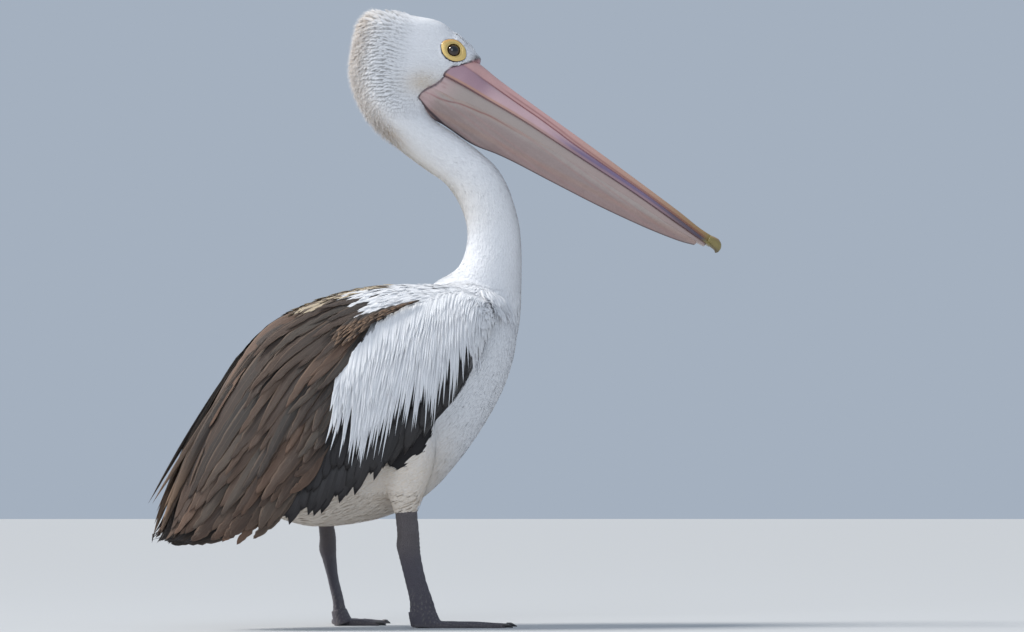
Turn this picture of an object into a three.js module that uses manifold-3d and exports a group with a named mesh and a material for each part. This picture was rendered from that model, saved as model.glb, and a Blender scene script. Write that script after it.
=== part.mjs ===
// Australian pelican, standing, life size, in millimetres.
// +X is the way the body faces, +Y its left side, +Z up; the soles stand on z = 0.
// The neck and head are built in a plane of their own, turned to the bird's right.
import * as THREE from 'three';
import { mergeVertices } from 'three/addons/utils/BufferGeometryUtils.js';
import Module from 'manifold-3d';

const wasm = await Module();
wasm.setup();

// ---------- driving dimensions ----------
const radians = Math.PI / 180;
const boxMiddle = [41, 21];         // X and Y of the middle of the bird's box
const gap = 0.3;                    // clearance between touching pieces
const neckTurn = 27;                // degrees the neck's plane is turned to the right
const neckPivot = 160;              // X of the upright line that plane turns about
const billSlope = 31.94;            // degrees the bill points below level
const billRoot = [-60, 800];        // start of the bill's axis in the neck's plane
const eyePlace = [-68, 841.5];      // eye centre in the neck's plane
const eyeRadius = 12.5;             // eyeball
const eyeOut = 22.5;                // eyeball's centre from the neck's plane
const eyeForward = 13;              // degrees each eye looks forward of square
const eyeUpward = 13;               // degrees each eye looks above level
const ringLong = 19.5;              // half length of the bare ring round the eye
const ringHigh = 16.5;              // half height of that ring
const ringTilt = 35;                // degrees the ring's long way slopes forward and down
const ankleHeights = [117, 112];    // joint between shank and foot bone, right and left
const legApart = 75;                // each foot from the midline
const webThickness = 3;
const tailLength = 165;

const colours = {
  white: 0xe9e9ea,
  cream: 0xd9cbb4,
  brown: 0x5b463b,
  pink: 0xd8a79c,
  pouch: 0xc3a79e,
  horn: 0x9c9150,
  ring: 0xc9a94a,
  eye: 0x2a1c14,
  leg: 0x4e4b50,
  claw: 0x2b2a2c,
};

// ---------- solids and surfaces ----------
function solidOf(geometry) {
  const bare = geometry.clone();
  bare.deleteAttribute('normal');
  bare.deleteAttribute('uv');
  const merged = mergeVertices(bare, 1e-4);
  return new wasm.Manifold(new wasm.Mesh({
    numProp: 3,
    vertProperties: new Float32Array(merged.attributes.position.array),
    triVerts: new Uint32Array(merged.index.array),
  }));
}

function geometryOf(solid) {
  const mesh = solid.getMesh();
  const geometry = new THREE.BufferGeometry();
  geometry.setAttribute('position', new THREE.BufferAttribute(mesh.vertProperties, 3));
  geometry.setIndex(new THREE.BufferAttribute(mesh.triVerts, 1));
  geometry.computeVertexNormals();
  return geometry;
}

// A body carried along stations. Each station is a line across the body, from its
// first point to its last, with a half width square to that line.
// A station's square is 2 for an ellipse and more for a boxier section.
// Options: sides round the section, steps along the body, grow added all round,
// and domes, the roundings past each end.
function loft(stations, options = {}) {
  const { sides = 16, steps = 16, grow = 0, domes = [0, 0] } = options;
  const firstLine = new THREE.CatmullRomCurve3(stations.map((s) => new THREE.Vector3(...s.from)));
  const lastLine = new THREE.CatmullRomCurve3(stations.map((s) => new THREE.Vector3(...s.to)));
  const shapeLine = new THREE.CatmullRomCurve3(
    stations.map((s) => new THREE.Vector3(s.half, (s.square ?? 2) * 10, 0)),
  );
  const sectionAt = (t) => {
    const from = firstLine.getPoint(t);
    const to = lastLine.getPoint(t);
    const centre = from.clone().add(to).multiplyScalar(0.5);
    const across = from.clone().sub(to).multiplyScalar(0.5);
    across.setLength(across.length() + grow);
    const shape = shapeLine.getPoint(t);
    return { centre, across, half: shape.x + grow, square: shape.y / 10 };
  };
  const rings = [];
  for (let i = 0; i <= steps; i += 1) {
    rings.push(sectionAt(i / steps));
  }
  rings.forEach((ring, i) => {
    const before = rings[Math.max(0, i - 1)].centre;
    const after = rings[Math.min(steps, i + 1)].centre;
    ring.along = after.clone().sub(before).normalize();
    ring.side = new THREE.Vector3().crossVectors(ring.along, ring.across).setLength(ring.half);
  });
  const domeRings = (ring, reach, sign) => {
    const extra = [];
    for (let k = 1; k <= 2 && reach > 0; k += 1) {
      const angle = (k / 3) * Math.PI / 2;
      extra.push({
        centre: ring.centre.clone()
          .addScaledVector(ring.along, sign * (reach + grow) * Math.sin(angle)),
        across: ring.across.clone().multiplyScalar(Math.cos(angle)),
        side: ring.side.clone().multiplyScalar(Math.cos(angle)),
        square: ring.square,
      });
    }
    return extra;
  };
  const start = domeRings(rings[0], domes[0], -1).reverse();
  const end = domeRings(rings[steps], domes[1], 1);
  const all = [...start, ...rings, ...end];
  const points = [];
  for (const ring of all) {
    for (let j = 0; j < sides; j += 1) {
      const angle = (j / sides) * 2 * Math.PI;
      const c = Math.cos(angle);
      const s = Math.sin(angle);
      const round = (Math.abs(c) ** ring.square + Math.abs(s) ** ring.square) ** (-1 / ring.square);
      points.push(ring.centre.clone()
        .addScaledVector(ring.across, c * round)
        .addScaledVector(ring.side, s * round));
    }
  }
  const faces = [];
  for (let i = 0; i < all.length - 1; i += 1) {
    for (let j = 0; j < sides; j += 1) {
      const a = i * sides + j;
      const b = i * sides + ((j + 1) % sides);
      faces.push(a, b, a + sides, b, b + sides, a + sides);
    }
  }
  const poleStart = points.length;
  points.push(rings[0].centre.clone().addScaledVector(rings[0].along, -domes[0] - grow));
  const poleEnd = points.length;
  points.push(rings[steps].centre.clone().addScaledVector(rings[steps].along, domes[1] + grow));
  const lastRing = (all.length - 1) * sides;
  for (let j = 0; j < sides; j += 1) {
    const next = (j + 1) % sides;
    faces.push(poleStart, next, j, poleEnd, lastRing + j, lastRing + next);
  }
  const geometry = new THREE.BufferGeometry().setFromPoints(points);
  geometry.setIndex(faces);
  return outward(geometry);
}

// Turns a closed surface's faces out if its volume comes out negative.
function outward(geometry) {
  const place = geometry.attributes.position;
  const index = geometry.index.array;
  let volume = 0;
  for (let f = 0; f < index.length; f += 3) {
    const [a, b, c] = [0, 1, 2].map((k) => new THREE.Vector3().fromBufferAttribute(place, index[f + k]));
    volume += a.dot(b.cross(c));
  }
  if (volume < 0) {
    for (let f = 0; f < index.length; f += 3) {
      [index[f], index[f + 1]] = [index[f + 1], index[f]];
    }
  }
  return geometry;
}

// The part of a solid on the side of a plane that its normal points away from.
function behindPlane(solid, point, normal, clearance = gap / 2) {
  const reach = 2000;
  const box = new THREE.BoxGeometry(reach, reach, reach);
  box.translate(0, 0, -reach / 2 - clearance);
  const upward = new THREE.Vector3(0, 0, 1);
  box.applyQuaternion(new THREE.Quaternion().setFromUnitVectors(upward, normal.clone().normalize()));
  box.translate(point.x, point.y, point.z);
  return solid.intersect(solidOf(box));
}

// The biggest of the bodies that a cut leaves.
function largest(solid) {
  return solid.decompose().reduce((best, part) => (part.volume() > best.volume() ? part : best));
}

function mirrored(geometry) {
  const copy = geometry.clone();
  copy.scale(1, -1, 1);
  return outward(copy);
}

// ---------- frames of the neck and the bill ----------
const neckPlane = new THREE.Matrix4().makeRotationZ(-neckTurn * radians).setPosition(neckPivot, 0, 0);
const billPlane = neckPlane.clone().multiply(
  new THREE.Matrix4().makeRotationY(billSlope * radians).setPosition(billRoot[0], 0, billRoot[1]),
);

// A station in an upright plane: first point, last point, half width and squareness.
const station = (from, to, half, square = 2.2) => (
  { from: [from[0], 0, from[1]], to: [to[0], 0, to[1]], half, square }
);

// ---------- neck and head ----------
const neckStations = [
  station([-128, 470], [14, 372], 58),
  station([-94, 503], [31, 440], 50),
  station([-61, 524], [34, 506], 42),
  station([-47.5, 566], [34, 562], 36),
  station([-54, 607], [28, 604], 34),
  station([-77, 647], [2, 668], 32),
  station([-112, 673], [-58, 720], 31),
  station([-153, 705], [-95, 745], 32),
  station([-190, 745], [-104, 763], 34),
  station([-209, 782], [-88, 782], 35),
  station([-216, 808], [-44, 806], 36, 2.5),
  station([-216, 832], [-21, 828], 36, 2.9),
  station([-211, 858], [-49, 858], 33, 3.2),
  station([-203, 885], [-82, 887], 27, 2.8),
  station([-188, 901], [-120, 896], 15, 2.4),
];
const neckOptions = { sides: 14, steps: 26, domes: [0, 6] };

function neckAndHead(grow = 0) {
  return solidOf(loft(neckStations, { ...neckOptions, grow }).applyMatrix4(neckPlane));
}

// Where the feathers of the face end and the bare bill begins, seen from the side.
const featherEdge = [
  [-30.5, 833], [-44, 827], [-58, 822], [-72, 818], [-79, 810], [-84, 799],
  [-93, 792], [-105, 786.5], [-114, 781.5], [-119, 774],
];

function billSpace(grow = 0) {
  const outline = new THREE.Shape();
  outline.moveTo(400, 834 + grow);
  featherEdge.forEach(([d, z]) => outline.lineTo(d - grow, z + grow));
  outline.lineTo(-104 - grow, 757);
  outline.lineTo(-79 - grow, 734);
  outline.lineTo(-40 - grow, 707);
  outline.lineTo(-12 - grow, 682);
  outline.lineTo(60, 500);
  outline.lineTo(400, 500);
  const prism = new THREE.ExtrudeGeometry(outline, { depth: 120, bevelEnabled: false, curveSegments: 1 });
  prism.rotateX(Math.PI / 2);
  prism.translate(0, 60, 0);
  return solidOf(prism.applyMatrix4(neckPlane));
}

// ---------- bill ----------
const upperBillStations = [
  station([-40, 40], [-40, -6], 31),
  station([10, 39.5], [10, -2.5], 29.5),
  station([52, 34.5], [52, -1.2], 26),
  station([110, 30], [110, 0.5], 22.5),
  station([196, 24.3], [196, -1], 19),
  station([306, 15.7], [306, -3.5], 18),
  station([380, 9.2], [380, -8], 19.5),
  station([416, 4.8], [416, -10], 18),
  station([440, 4.2], [440, -10.5], 12.5),
];
const nailStations = [
  station([438.5, 4.5], [438.5, -10.5], 12.6),
  station([449, 5.3], [445, -11], 10),
  station([457.5, 0], [451, -11.2], 7),
  station([459.5, -7], [453.5, -12.6], 3.6),
];
const lowerBillStations = [
  station([-40, -6.5], [-40, -45], 31.5),
  station([10, -3], [10, -33], 29.5),
  station([52, -1.7], [52, -23.5], 26),
  station([110, 0], [110, -19], 22),
  station([196, -1.5], [196, -17], 18),
  station([306, -4], [306, -17], 16.5),
  station([380, -8.5], [380, -18], 17),
  station([416, -10.5], [416, -16.5], 15),
  station([436, -11], [436, -15], 9),
];
const pouchStations = [
  station([-40, -30], [-40, -72], 29),
  station([10, -24], [10, -66], 27),
  station([60, -18], [66, -67.6], 21),
  station([110, -14], [115, -59.5], 16),
  station([196, -12], [200, -52.6], 12),
  station([270, -12], [275, -46.4], 11),
  station([352, -12], [355, -36.4], 10),
  station([400, -13], [402, -27.6], 8),
  station([420, -14], [424, -21], 5),
];

function billPiece(stations, options) {
  return solidOf(loft(stations, options).applyMatrix4(billPlane));
}

const upperOptions = { sides: 12, steps: 11 };
const lowerOptions = { sides: 10, steps: 9 };
const pouchOptions = { sides: 10, steps: 11 };
const nailOptions = { sides: 8, steps: 4, domes: [0, 2] };

// ---------- trunk ----------
const trunkStations = [
  { from: [72, 0, 498], to: [185, 0, 452], half: 54 },
  { from: [36, 0, 493], to: [180, 0, 398], half: 78 },
  { from: [0, 0, 489], to: [154, 0, 330], half: 94 },
  { from: [-48, 0, 483], to: [102, 0, 252], half: 101 },
  { from: [-94, 0, 470], to: [43, 0, 190], half: 101 },
  { from: [-138, 0, 438], to: [-16, 0, 158], half: 96 },
  { from: [-180, 0, 388], to: [-84, 0, 144], half: 86 },
  { from: [-212, 0, 326], to: [-140, 0, 142], half: 68 },
  { from: [-230, 0, 266], to: [-184, 0, 152], half: 44 },
];
const trunkOptions = { sides: 18, steps: 13, domes: [20, 12] };

function trunkSolid(grow = 0) {
  return solidOf(loft(trunkStations, { ...trunkOptions, grow }));
}

// ---------- wings ----------
// The folded left wing, from the shoulder back to the tips; the right is its mirror image.
const wingStations = [
  { from: [106, 66, 471], to: [112, 90, 438], half: 16 },
  { from: [70, 40, 490], to: [80, 104, 388], half: 34 },
  { from: [24, 26, 494], to: [48, 112, 330], half: 42 },
  { from: [-34, 16, 491], to: [6, 116, 284], half: 45 },
  { from: [-92, 11, 479], to: [-42, 114, 249], half: 45 },
  { from: [-152, 9, 459], to: [-96, 107, 207], half: 42 },
  { from: [-208, 8, 428], to: [-150, 95, 173], half: 37 },
  { from: [-253, 8, 377], to: [-206, 80, 149], half: 30 },
  { from: [-290, 9, 317], to: [-256, 64, 128], half: 23 },
  { from: [-319, 10, 254], to: [-296, 50, 118], half: 17 },
  { from: [-342, 12, 190], to: [-328, 40, 115], half: 11 },
];
const wingOptions = { sides: 14, steps: 12, domes: [12, 10] };
const featherThickness = 3.4;

// Long feathers that end the wing: root, tip and half width of each.
const longFeathers = [
  { root: [-286, 22, 300], tip: [-369, 14, 121], half: 14 },
  { root: [-274, 36, 268], tip: [-352, 27, 116], half: 15 },
  { root: [-256, 48, 238], tip: [-331, 38, 112], half: 16 },
  { root: [-234, 60, 212], tip: [-307, 51, 113], half: 16 },
  { root: [-208, 74, 188], tip: [-279, 63, 123], half: 15 },
];
const wingOutward = [0, 1, 0.35];   // the way the wing's feathers face
const tailUpward = [-0.55, 0, 0.83];

// A flat vane with a rounded tip, its face turned to the given side.
function vane(feather, facing) {
  const root = new THREE.Vector3(...feather.root);
  const tip = new THREE.Vector3(...feather.tip);
  const shape = [0.75, 1, 0.95, 0.7, 0.2];
  const along = tip.clone().sub(root);
  const broad = new THREE.Vector3().crossVectors(along, new THREE.Vector3(...facing)).normalize();
  const stations = shape.map((width, i) => {
    const centre = root.clone().addScaledVector(along, i / (shape.length - 1));
    const reach = broad.clone().multiplyScalar(feather.half * width);
    return {
      from: centre.clone().add(reach).toArray(),
      to: centre.clone().sub(reach).toArray(),
      half: featherThickness * (1 - (0.5 * i) / shape.length),
    };
  });
  return solidOf(loft(stations, { sides: 6, steps: 3 }));
}

function leftWing() {
  let wing = solidOf(loft(wingStations, wingOptions));
  for (const feather of longFeathers) {
    wing = wing.add(vane(feather, wingOutward));
  }
  return wing;
}

// ---------- tail ----------
// A fan of broad feathers under the wing tips.
const tailRoot = [-198, 0, 196];
const tailSpread = 32;              // degrees from one outer feather to the other

function tailFan() {
  const count = 5;
  let fan = null;
  for (let i = 0; i < count; i += 1) {
    const part = (2 * i) / (count - 1) - 1;
    const turn = part * 0.5 * tailSpread * radians;
    const length = tailLength * (1 - 0.1 * Math.abs(part));
    const feather = vane({
      root: tailRoot,
      tip: [
        tailRoot[0] - 0.86 * length * Math.cos(turn),
        length * Math.sin(turn),
        tailRoot[2] - 0.5 * length,
      ],
      half: 17,
    }, tailUpward);
    fan = fan ? fan.add(feather) : feather;
  }
  return fan;
}

// The room that the tail takes between the wings.
function tailSpace(grow = 0) {
  const tipX = tailRoot[0] - 0.92 * tailLength;
  const tipZ = tailRoot[2] - 0.535 * tailLength;
  const thick = 4.2;
  return solidOf(loft([
    { from: [tailRoot[0], 16, tailRoot[2]], to: [tailRoot[0], -16, tailRoot[2]], half: thick, square: 6 },
    { from: [tipX, 54, tipZ], to: [tipX, -54, tipZ], half: thick, square: 6 },
  ], { sides: 8, steps: 1, grow }));
}

// ---------- legs ----------
// The line of each leg: where it leaves the thigh, its ankle and its foot.
const legs = {
  right: {
    side: -1,
    thigh: [-34, 296],
    top: [-26, 160],
    ankle: [-22.5, ankleHeights[0]],
    heel: [1, 18],
    toeOut: 8,
  },
  left: {
    side: 1,
    thigh: [-88, 292],
    top: [-84, 143],
    ankle: [-81, ankleHeights[1]],
    heel: [-62, 18],
    toeOut: 50,
  },
};
const shankDepth = 17;              // half of the leg, front to back
const shankWidth = 7.2;             // half of the leg, side to side

// A station of a leg: a level line, front to back, turned out by the foot's angle.
function legStation(leg, [x, z], depth, width) {
  const turn = leg.toeOut * radians * leg.side;
  const y = leg.side * legApart;
  const reach = [depth * Math.cos(turn), depth * Math.sin(turn)];
  return {
    from: [x + reach[0], y + reach[1], z],
    to: [x - reach[0], y - reach[1], z],
    half: width,
  };
}

function aboveHeight(solid, height) {
  return behindPlane(solid, new THREE.Vector3(0, 0, height), new THREE.Vector3(0, 0, -1), 0);
}

function belowHeight(solid, height) {
  return behindPlane(solid, new THREE.Vector3(0, 0, height), new THREE.Vector3(0, 0, 1), 0);
}

function thighSolid(leg) {
  const stations = [
    legStation(leg, leg.thigh, 52, 38),
    legStation(leg, [leg.thigh[0] + 6, leg.thigh[1] - 60], 46, 33),
    legStation(leg, [leg.top[0], leg.top[1] + 34], 30, 23),
    legStation(leg, [leg.top[0], leg.top[1] - 4], 18, 11.5),
  ];
  return aboveHeight(solidOf(loft(stations, { sides: 12, steps: 6 })), leg.top[1] + gap);
}

function shankSolid(leg) {
  const middle = [(leg.ankle[0] + leg.heel[0]) / 2, (leg.ankle[1] + leg.heel[1]) / 2];
  const stations = [
    legStation(leg, [leg.top[0], leg.top[1] + 6], 16.5, 11),
    legStation(leg, [leg.ankle[0], leg.ankle[1] + 16], 16.5, 12),
    legStation(leg, leg.ankle, 17.5, 12.5),
    legStation(leg, [leg.ankle[0] + 3, leg.ankle[1] - 16], shankDepth - 0.5, 10),
    legStation(leg, middle, shankDepth - 1, shankWidth),
    legStation(leg, [leg.heel[0] - 2, leg.heel[1] + 18], shankDepth + 1, shankWidth),
    legStation(leg, [leg.heel[0] + 1, leg.heel[1] - 5], shankDepth + 5, 10),
  ];
  const shank = solidOf(loft(stations, { sides: 10, steps: 10 }));
  return belowHeight(aboveHeight(shank, leg.heel[1] + gap), leg.top[1]);
}

// Toes of one foot: angle outward from the foot's own line, and length from the heel.
const toes = [
  { name: 'outer', angle: 20, length: 116 },
  { name: 'middle', angle: -1, length: 130 },
  { name: 'inner', angle: -25, length: 102 },
  { name: 'hind', angle: -82, length: 56 },
];
const toeHeight = 12;               // at the root
const clawLength = 13;

function toePoint(leg, toe, reach) {
  const turn = (leg.toeOut + toe.angle) * radians * leg.side;
  return [leg.heel[0] + reach * Math.cos(turn), leg.side * legApart + reach * Math.sin(turn)];
}

function toeSolid(leg, toe, grow = 0) {
  const parts = [[0, 1, 1], [0.3, 0.86, 0.9], [0.6, 0.66, 0.8], [0.85, 0.56, 0.72], [1, 0.4, 0.5]];
  const stations = parts.map(([along, high, wide]) => {
    const [x, y] = toePoint(leg, toe, toe.length * along);
    return { from: [x, y, toeHeight * high], to: [x, y, -toeHeight * high * 0.35], half: 6.6 * wide };
  });
  return solidOf(loft(stations, { sides: 6, steps: 4, grow }));
}

// A web sags a little between its two toes and its free edge curves inward.
function webSolid(leg, first, second) {
  const stations = [0, 0.25, 0.5, 0.75, 1].map((part) => {
    const bow = 1 - 0.22 * Math.sin(part * Math.PI);
    const angle = first.angle + (second.angle - first.angle) * part;
    const length = (first.length + (second.length - first.length) * part) * 0.93 * bow;
    const near = toePoint(leg, { angle }, 4);
    const far = toePoint(leg, { angle }, length);
    const height = webThickness / 2;
    return { from: [...near, height], to: [...far, height], half: height, square: 4 };
  });
  return solidOf(loft(stations, { sides: 6, steps: 4 }));
}

function footSolid(leg) {
  const crown = [
    legStation(leg, [leg.heel[0] - 1, leg.heel[1] + 5], shankDepth + 3, 10),
    legStation(leg, [leg.heel[0] + 4, leg.heel[1] - 9], shankDepth + 6, 12),
    legStation(leg, [leg.heel[0] + 8, -3], shankDepth + 8, 13),
  ];
  let foot = solidOf(loft(crown, { sides: 8, steps: 2 }));
  for (const toe of toes) {
    foot = foot.add(toeSolid(leg, toe));
  }
  for (let i = 0; i < toes.length - 1; i += 1) {
    foot = foot.add(webSolid(leg, toes[i], toes[i + 1]));
  }
  return belowHeight(aboveHeight(foot, 0), leg.heel[1]);
}

function clawSolid(leg, toe) {
  const stations = [[0.985, 6.2, 0.2, 3.4], [1.04, 6, 0.6, 2.8], [1.08, 4, 0.5, 1.8], [1.12, 1.4, 0.4, 0.8]];
  return solidOf(loft(stations.map(([along, top, bottom, half]) => {
    const [x, y] = toePoint(leg, toe, toe.length + (along - 1) * clawLength * 8);
    return { from: [x, y, top], to: [x, y, bottom], half };
  }), { sides: 6, steps: 3 }));
}

// ---------- eyes ----------
const ringOut = 9;                  // from the eyeball's centre to the ring's plane

// Carries a shape made round the Y axis to one eye: set out, tipped up and turned forward.
function placeAtEye(geometry, side) {
  geometry.rotateX(side * eyeUpward * radians);
  geometry.rotateZ(-side * eyeForward * radians);
  geometry.translate(eyePlace[0], side * eyeOut, eyePlace[1]);
  return geometry.applyMatrix4(neckPlane);
}

function eyeBall(side, grow = 0) {
  return solidOf(placeAtEye(new THREE.SphereGeometry(eyeRadius + grow, 10, 8), side));
}

// The bare skin round the eye: a low ring, longer than high, tipped forward and down.
function eyeRing(side, grow = 0) {
  const depth = 9;
  const profile = [[8, -depth - grow], [ringLong - 3 + grow, -depth - grow], [ringLong + grow, -0.5],
    [13, 2.6 + grow], [8, 2.4 + grow]];
  const points = profile.map(([r, h]) => new THREE.Vector2(r, h));
  points.push(points[0].clone());
  const ring = new THREE.LatheGeometry(points, 12);
  ring.deleteAttribute('normal');
  ring.deleteAttribute('uv');
  const closed = mergeVertices(ring, 1e-4);
  closed.scale(1, 1, ringHigh / ringLong);
  if (side < 0) {
    closed.rotateX(Math.PI);
  }
  closed.rotateY(ringTilt * radians);
  closed.translate(0, side * ringOut, 0);
  return solidOf(outward(placeAtEye(closed, side)));
}

// ---------- the whole bird ----------
const pelican = new THREE.Group();
pelican.name = 'pelican';

function addPiece(name, solid, colour, roughness = 0.85) {
  const material = new THREE.MeshStandardMaterial({ color: colours[colour], roughness, metalness: 0 });
  const mesh = new THREE.Mesh(geometryOf(solid), material);
  mesh.name = name;
  pelican.add(mesh);
}

const trunk = trunkSolid();
const trunkGrown = trunkSolid(gap);
const neckGrown = neckAndHead(gap);
const whole = neckAndHead().subtract(billSpace(0)).subtract(trunkGrown);

// Planes across the neck that part it into lengths, from the trunk upward.
const neckCuts = [
  { at: [-7, 572], normal: [0, 1] },
  { at: [-40, 668], normal: [-0.7, 0.72] },
  { at: [-148, 756], normal: [-0.25, 1] },
];

function cutPlane({ at, normal }) {
  const point = new THREE.Vector3(at[0], 0, at[1]).applyMatrix4(neckPlane);
  const tip = new THREE.Vector3(at[0] + normal[0], 0, at[1] + normal[1]).applyMatrix4(neckPlane);
  return { point, normal: tip.sub(point) };
}

const neckNames = ['neck_lower', 'neck_middle', 'neck_upper', 'head'];
const sockets = [-1, 1].map((side) => eyeBall(side, gap).add(eyeRing(side, gap)));
neckNames.forEach((name, i) => {
  let piece = whole;
  if (i < neckCuts.length) {
    const { point, normal } = cutPlane(neckCuts[i]);
    piece = behindPlane(piece, point, normal);
  }
  if (i > 0) {
    const { point, normal } = cutPlane(neckCuts[i - 1]);
    piece = behindPlane(piece, point, normal.negate());
  }
  if (name === 'head') {
    sockets.forEach((socket) => {
      piece = piece.subtract(socket);
    });
  }
  addPiece(name, largest(piece), 'white');
});

for (const [side, name] of [[-1, 'right'], [1, 'left']]) {
  addPiece(`eye_${name}`, eyeBall(side), 'eye', 0.08);
  addPiece(`eye_ring_${name}`, eyeRing(side).subtract(eyeBall(side, gap)), 'ring', 0.5);
}

const roomForBill = billSpace(-gap);
const upperBill = billPiece(upperBillStations, upperOptions);
const upperGrown = billPiece(upperBillStations, { ...upperOptions, grow: gap });
const lowerBill = billPiece(lowerBillStations, lowerOptions).subtract(upperGrown);
const lowerGrown = billPiece(lowerBillStations, { ...lowerOptions, grow: gap });
const nail = billPiece(nailStations, nailOptions);
addPiece('bill_upper', upperBill.intersect(roomForBill), 'pink', 0.5);
addPiece('bill_nail', largest(nail.subtract(upperGrown).subtract(lowerGrown)), 'horn', 0.4);
addPiece('bill_lower', lowerBill.intersect(roomForBill), 'pink', 0.5);
const pouch = billPiece(pouchStations, pouchOptions).subtract(lowerGrown).subtract(upperGrown);
addPiece('bill_pouch', pouch.subtract(neckGrown.subtract(billSpace(0))).intersect(roomForBill), 'pouch', 0.6);

addPiece('trunk', trunk, 'white');

addPiece('tail', largest(tailFan().intersect(tailSpace()).subtract(trunkGrown)), 'brown');

const left = leftWing();
const right = solidOf(mirrored(geometryOf(left)));
const midplane = new THREE.Vector3();
for (const [name, wing, inward] of [['left', left, -1], ['right', right, 1]]) {
  const cut = wing.subtract(trunkGrown).subtract(tailSpace(gap)).subtract(neckGrown);
  const half = behindPlane(cut, midplane, new THREE.Vector3(0, inward, 0));
  addPiece(`wing_${name}`, largest(half), 'brown');
}
const wings = left.add(right);

for (const [name, leg] of Object.entries(legs)) {
  addPiece(`thigh_${name}`, largest(thighSolid(leg).subtract(trunkGrown).subtract(wings)), 'cream');
  addPiece(`shank_${name}`, shankSolid(leg), 'leg', 0.55);
  addPiece(`foot_${name}`, footSolid(leg), 'leg', 0.55);
  for (const toe of toes) {
    const claw = clawSolid(leg, toe).subtract(toeSolid(leg, toe, gap));
    addPiece(`claw_${name}_${toe.name}`, claw, 'claw', 0.35);
  }
}

// The origin is set under the middle of the bird's box, on the floor.
pelican.position.set(-boxMiddle[0], -boxMiddle[1], 0);

export default pelican;
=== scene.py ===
import math
import bpy
import numpy as np
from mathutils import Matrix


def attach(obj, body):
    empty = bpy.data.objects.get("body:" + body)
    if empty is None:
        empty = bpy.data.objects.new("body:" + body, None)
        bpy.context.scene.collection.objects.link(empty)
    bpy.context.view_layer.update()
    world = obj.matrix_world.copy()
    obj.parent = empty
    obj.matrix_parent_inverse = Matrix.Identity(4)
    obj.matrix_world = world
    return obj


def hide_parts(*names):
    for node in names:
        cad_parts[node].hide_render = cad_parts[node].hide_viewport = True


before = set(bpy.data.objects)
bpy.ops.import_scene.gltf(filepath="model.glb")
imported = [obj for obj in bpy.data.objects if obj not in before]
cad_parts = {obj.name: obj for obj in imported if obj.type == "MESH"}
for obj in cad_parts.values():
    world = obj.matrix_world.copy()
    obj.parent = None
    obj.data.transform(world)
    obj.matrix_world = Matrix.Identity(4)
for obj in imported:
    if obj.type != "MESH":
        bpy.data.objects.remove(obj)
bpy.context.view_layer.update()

# Millimetres of the bird's own measure become metres of the frame after this shift.
shift = np.array([-41.0, -21.0, 0.0])
neckTurn = math.radians(27)        # the plane of neck and bill, turned from the body's length
neckPivot = 160.0                  # where on that length it turns
billSlope = math.radians(31.94)    # the bill's axis points down by this
billRoot = (-60.0, 800.0)          # forward and up in the neck's plane

# camera, light and floor
view = {"focal": 3448, "frameWidth": 1024, "sensor": 36, "distance": 5000, "height": 168,
        "sideways": 162, "rise": 194, "farthest": 100}


def linked(name, data):
    # an object that holds the data, put in the scene
    thing = bpy.data.objects.new(name, data)
    bpy.context.scene.collection.objects.link(thing)
    return thing


def addCamera():
    # sideways * right - distance * look from the middle, level across the neck's plane, then tipped
    # up by the angle whose tangent is rise over focal, both in pixels
    data = bpy.data.cameras.new("camera")
    data.sensor_width = view["sensor"]
    data.lens = view["focal"] / view["frameWidth"] * view["sensor"]
    data.clip_end = view["farthest"]
    look = np.array([math.sin(neckTurn), math.cos(neckTurn), 0])
    right = np.array([math.cos(neckTurn), -math.sin(neckTurn), 0])
    place = right * view["sideways"] - look * view["distance"] + (0, 0, view["height"]) + shift
    camera = linked("camera", data)
    camera.location = place / 1000
    camera.rotation_euler = (math.pi / 2 + math.atan(view["rise"] / view["focal"]), 0, -neckTurn)
    bpy.context.scene.camera = camera


addCamera()
print("camera placed")

studio = {"sky": (0.60, 0.70, 0.84), "skyStrength": 0.62, "sun": 3.5, "softness": 18,
          "sunFrom": (-0.62, 0.30, 0.74), "sunAway": 4, "sunColour": (1, 0.97, 0.92),
          "fillPower": 46, "fillSize": 2.5, "fillFrom": (-2.7, -2.7, 2.3), "fillAim": (0, 0, 0.5),
          "fillColour": (0.90, 0.94, 1), "floor": (0.50, 0.51, 0.52), "floorRadius": 60000}


def addLamp(name, kind, place, target, power, size, colour):
    # a square lamp, or a far one whose size is its angle in radians, at place facing target
    data = bpy.data.lights.new(name, kind)
    data.energy = power
    data.color = colour
    if kind == "AREA":
        data.size = size
    else:
        data.angle = size
    lamp = linked(name, data)
    lamp.location = place
    away = np.array(place, float) - np.array(target, float)
    level = math.hypot(away[0], away[1])
    lamp.rotation_euler = (math.atan2(level, away[2]), 0, math.atan2(away[1], away[0]) + math.pi / 2)


def addStudio():
    # an even sky, a soft low sun behind the bird and a square fill lamp in front of it
    world = bpy.data.worlds.new("studio")
    bpy.context.scene.world = world
    world.use_nodes = True
    back = world.node_tree.nodes["Background"]
    back.inputs["Color"].default_value = (*studio["sky"], 1)
    back.inputs["Strength"].default_value = studio["skyStrength"]
    addLamp("key", "SUN", np.array(studio["sunFrom"]) * studio["sunAway"], (0, 0, 0), studio["sun"],
            math.radians(studio["softness"]), studio["sunColour"])
    addLamp("fill", "AREA", studio["fillFrom"], studio["fillAim"], studio["fillPower"], studio["fillSize"],
            studio["fillColour"])
    bpy.context.scene.view_settings.view_transform = "Standard"


addStudio()

# whole-array helpers


def linear(red, green, blue):
    # screen colour from 0 to 255 turned into light: its share of 255 to the power 2.2
    return (np.array([red, green, blue]) / 255.0) ** 2.2


def unit(vectors):
    # each vector over its own length
    return vectors / np.maximum(np.linalg.norm(vectors, axis=-1, keepdims=True), 1e-9)


def dot(a, b):
    # the sum of a times b over the last axis
    return np.sum(a * b, -1, keepdims=True)


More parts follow.
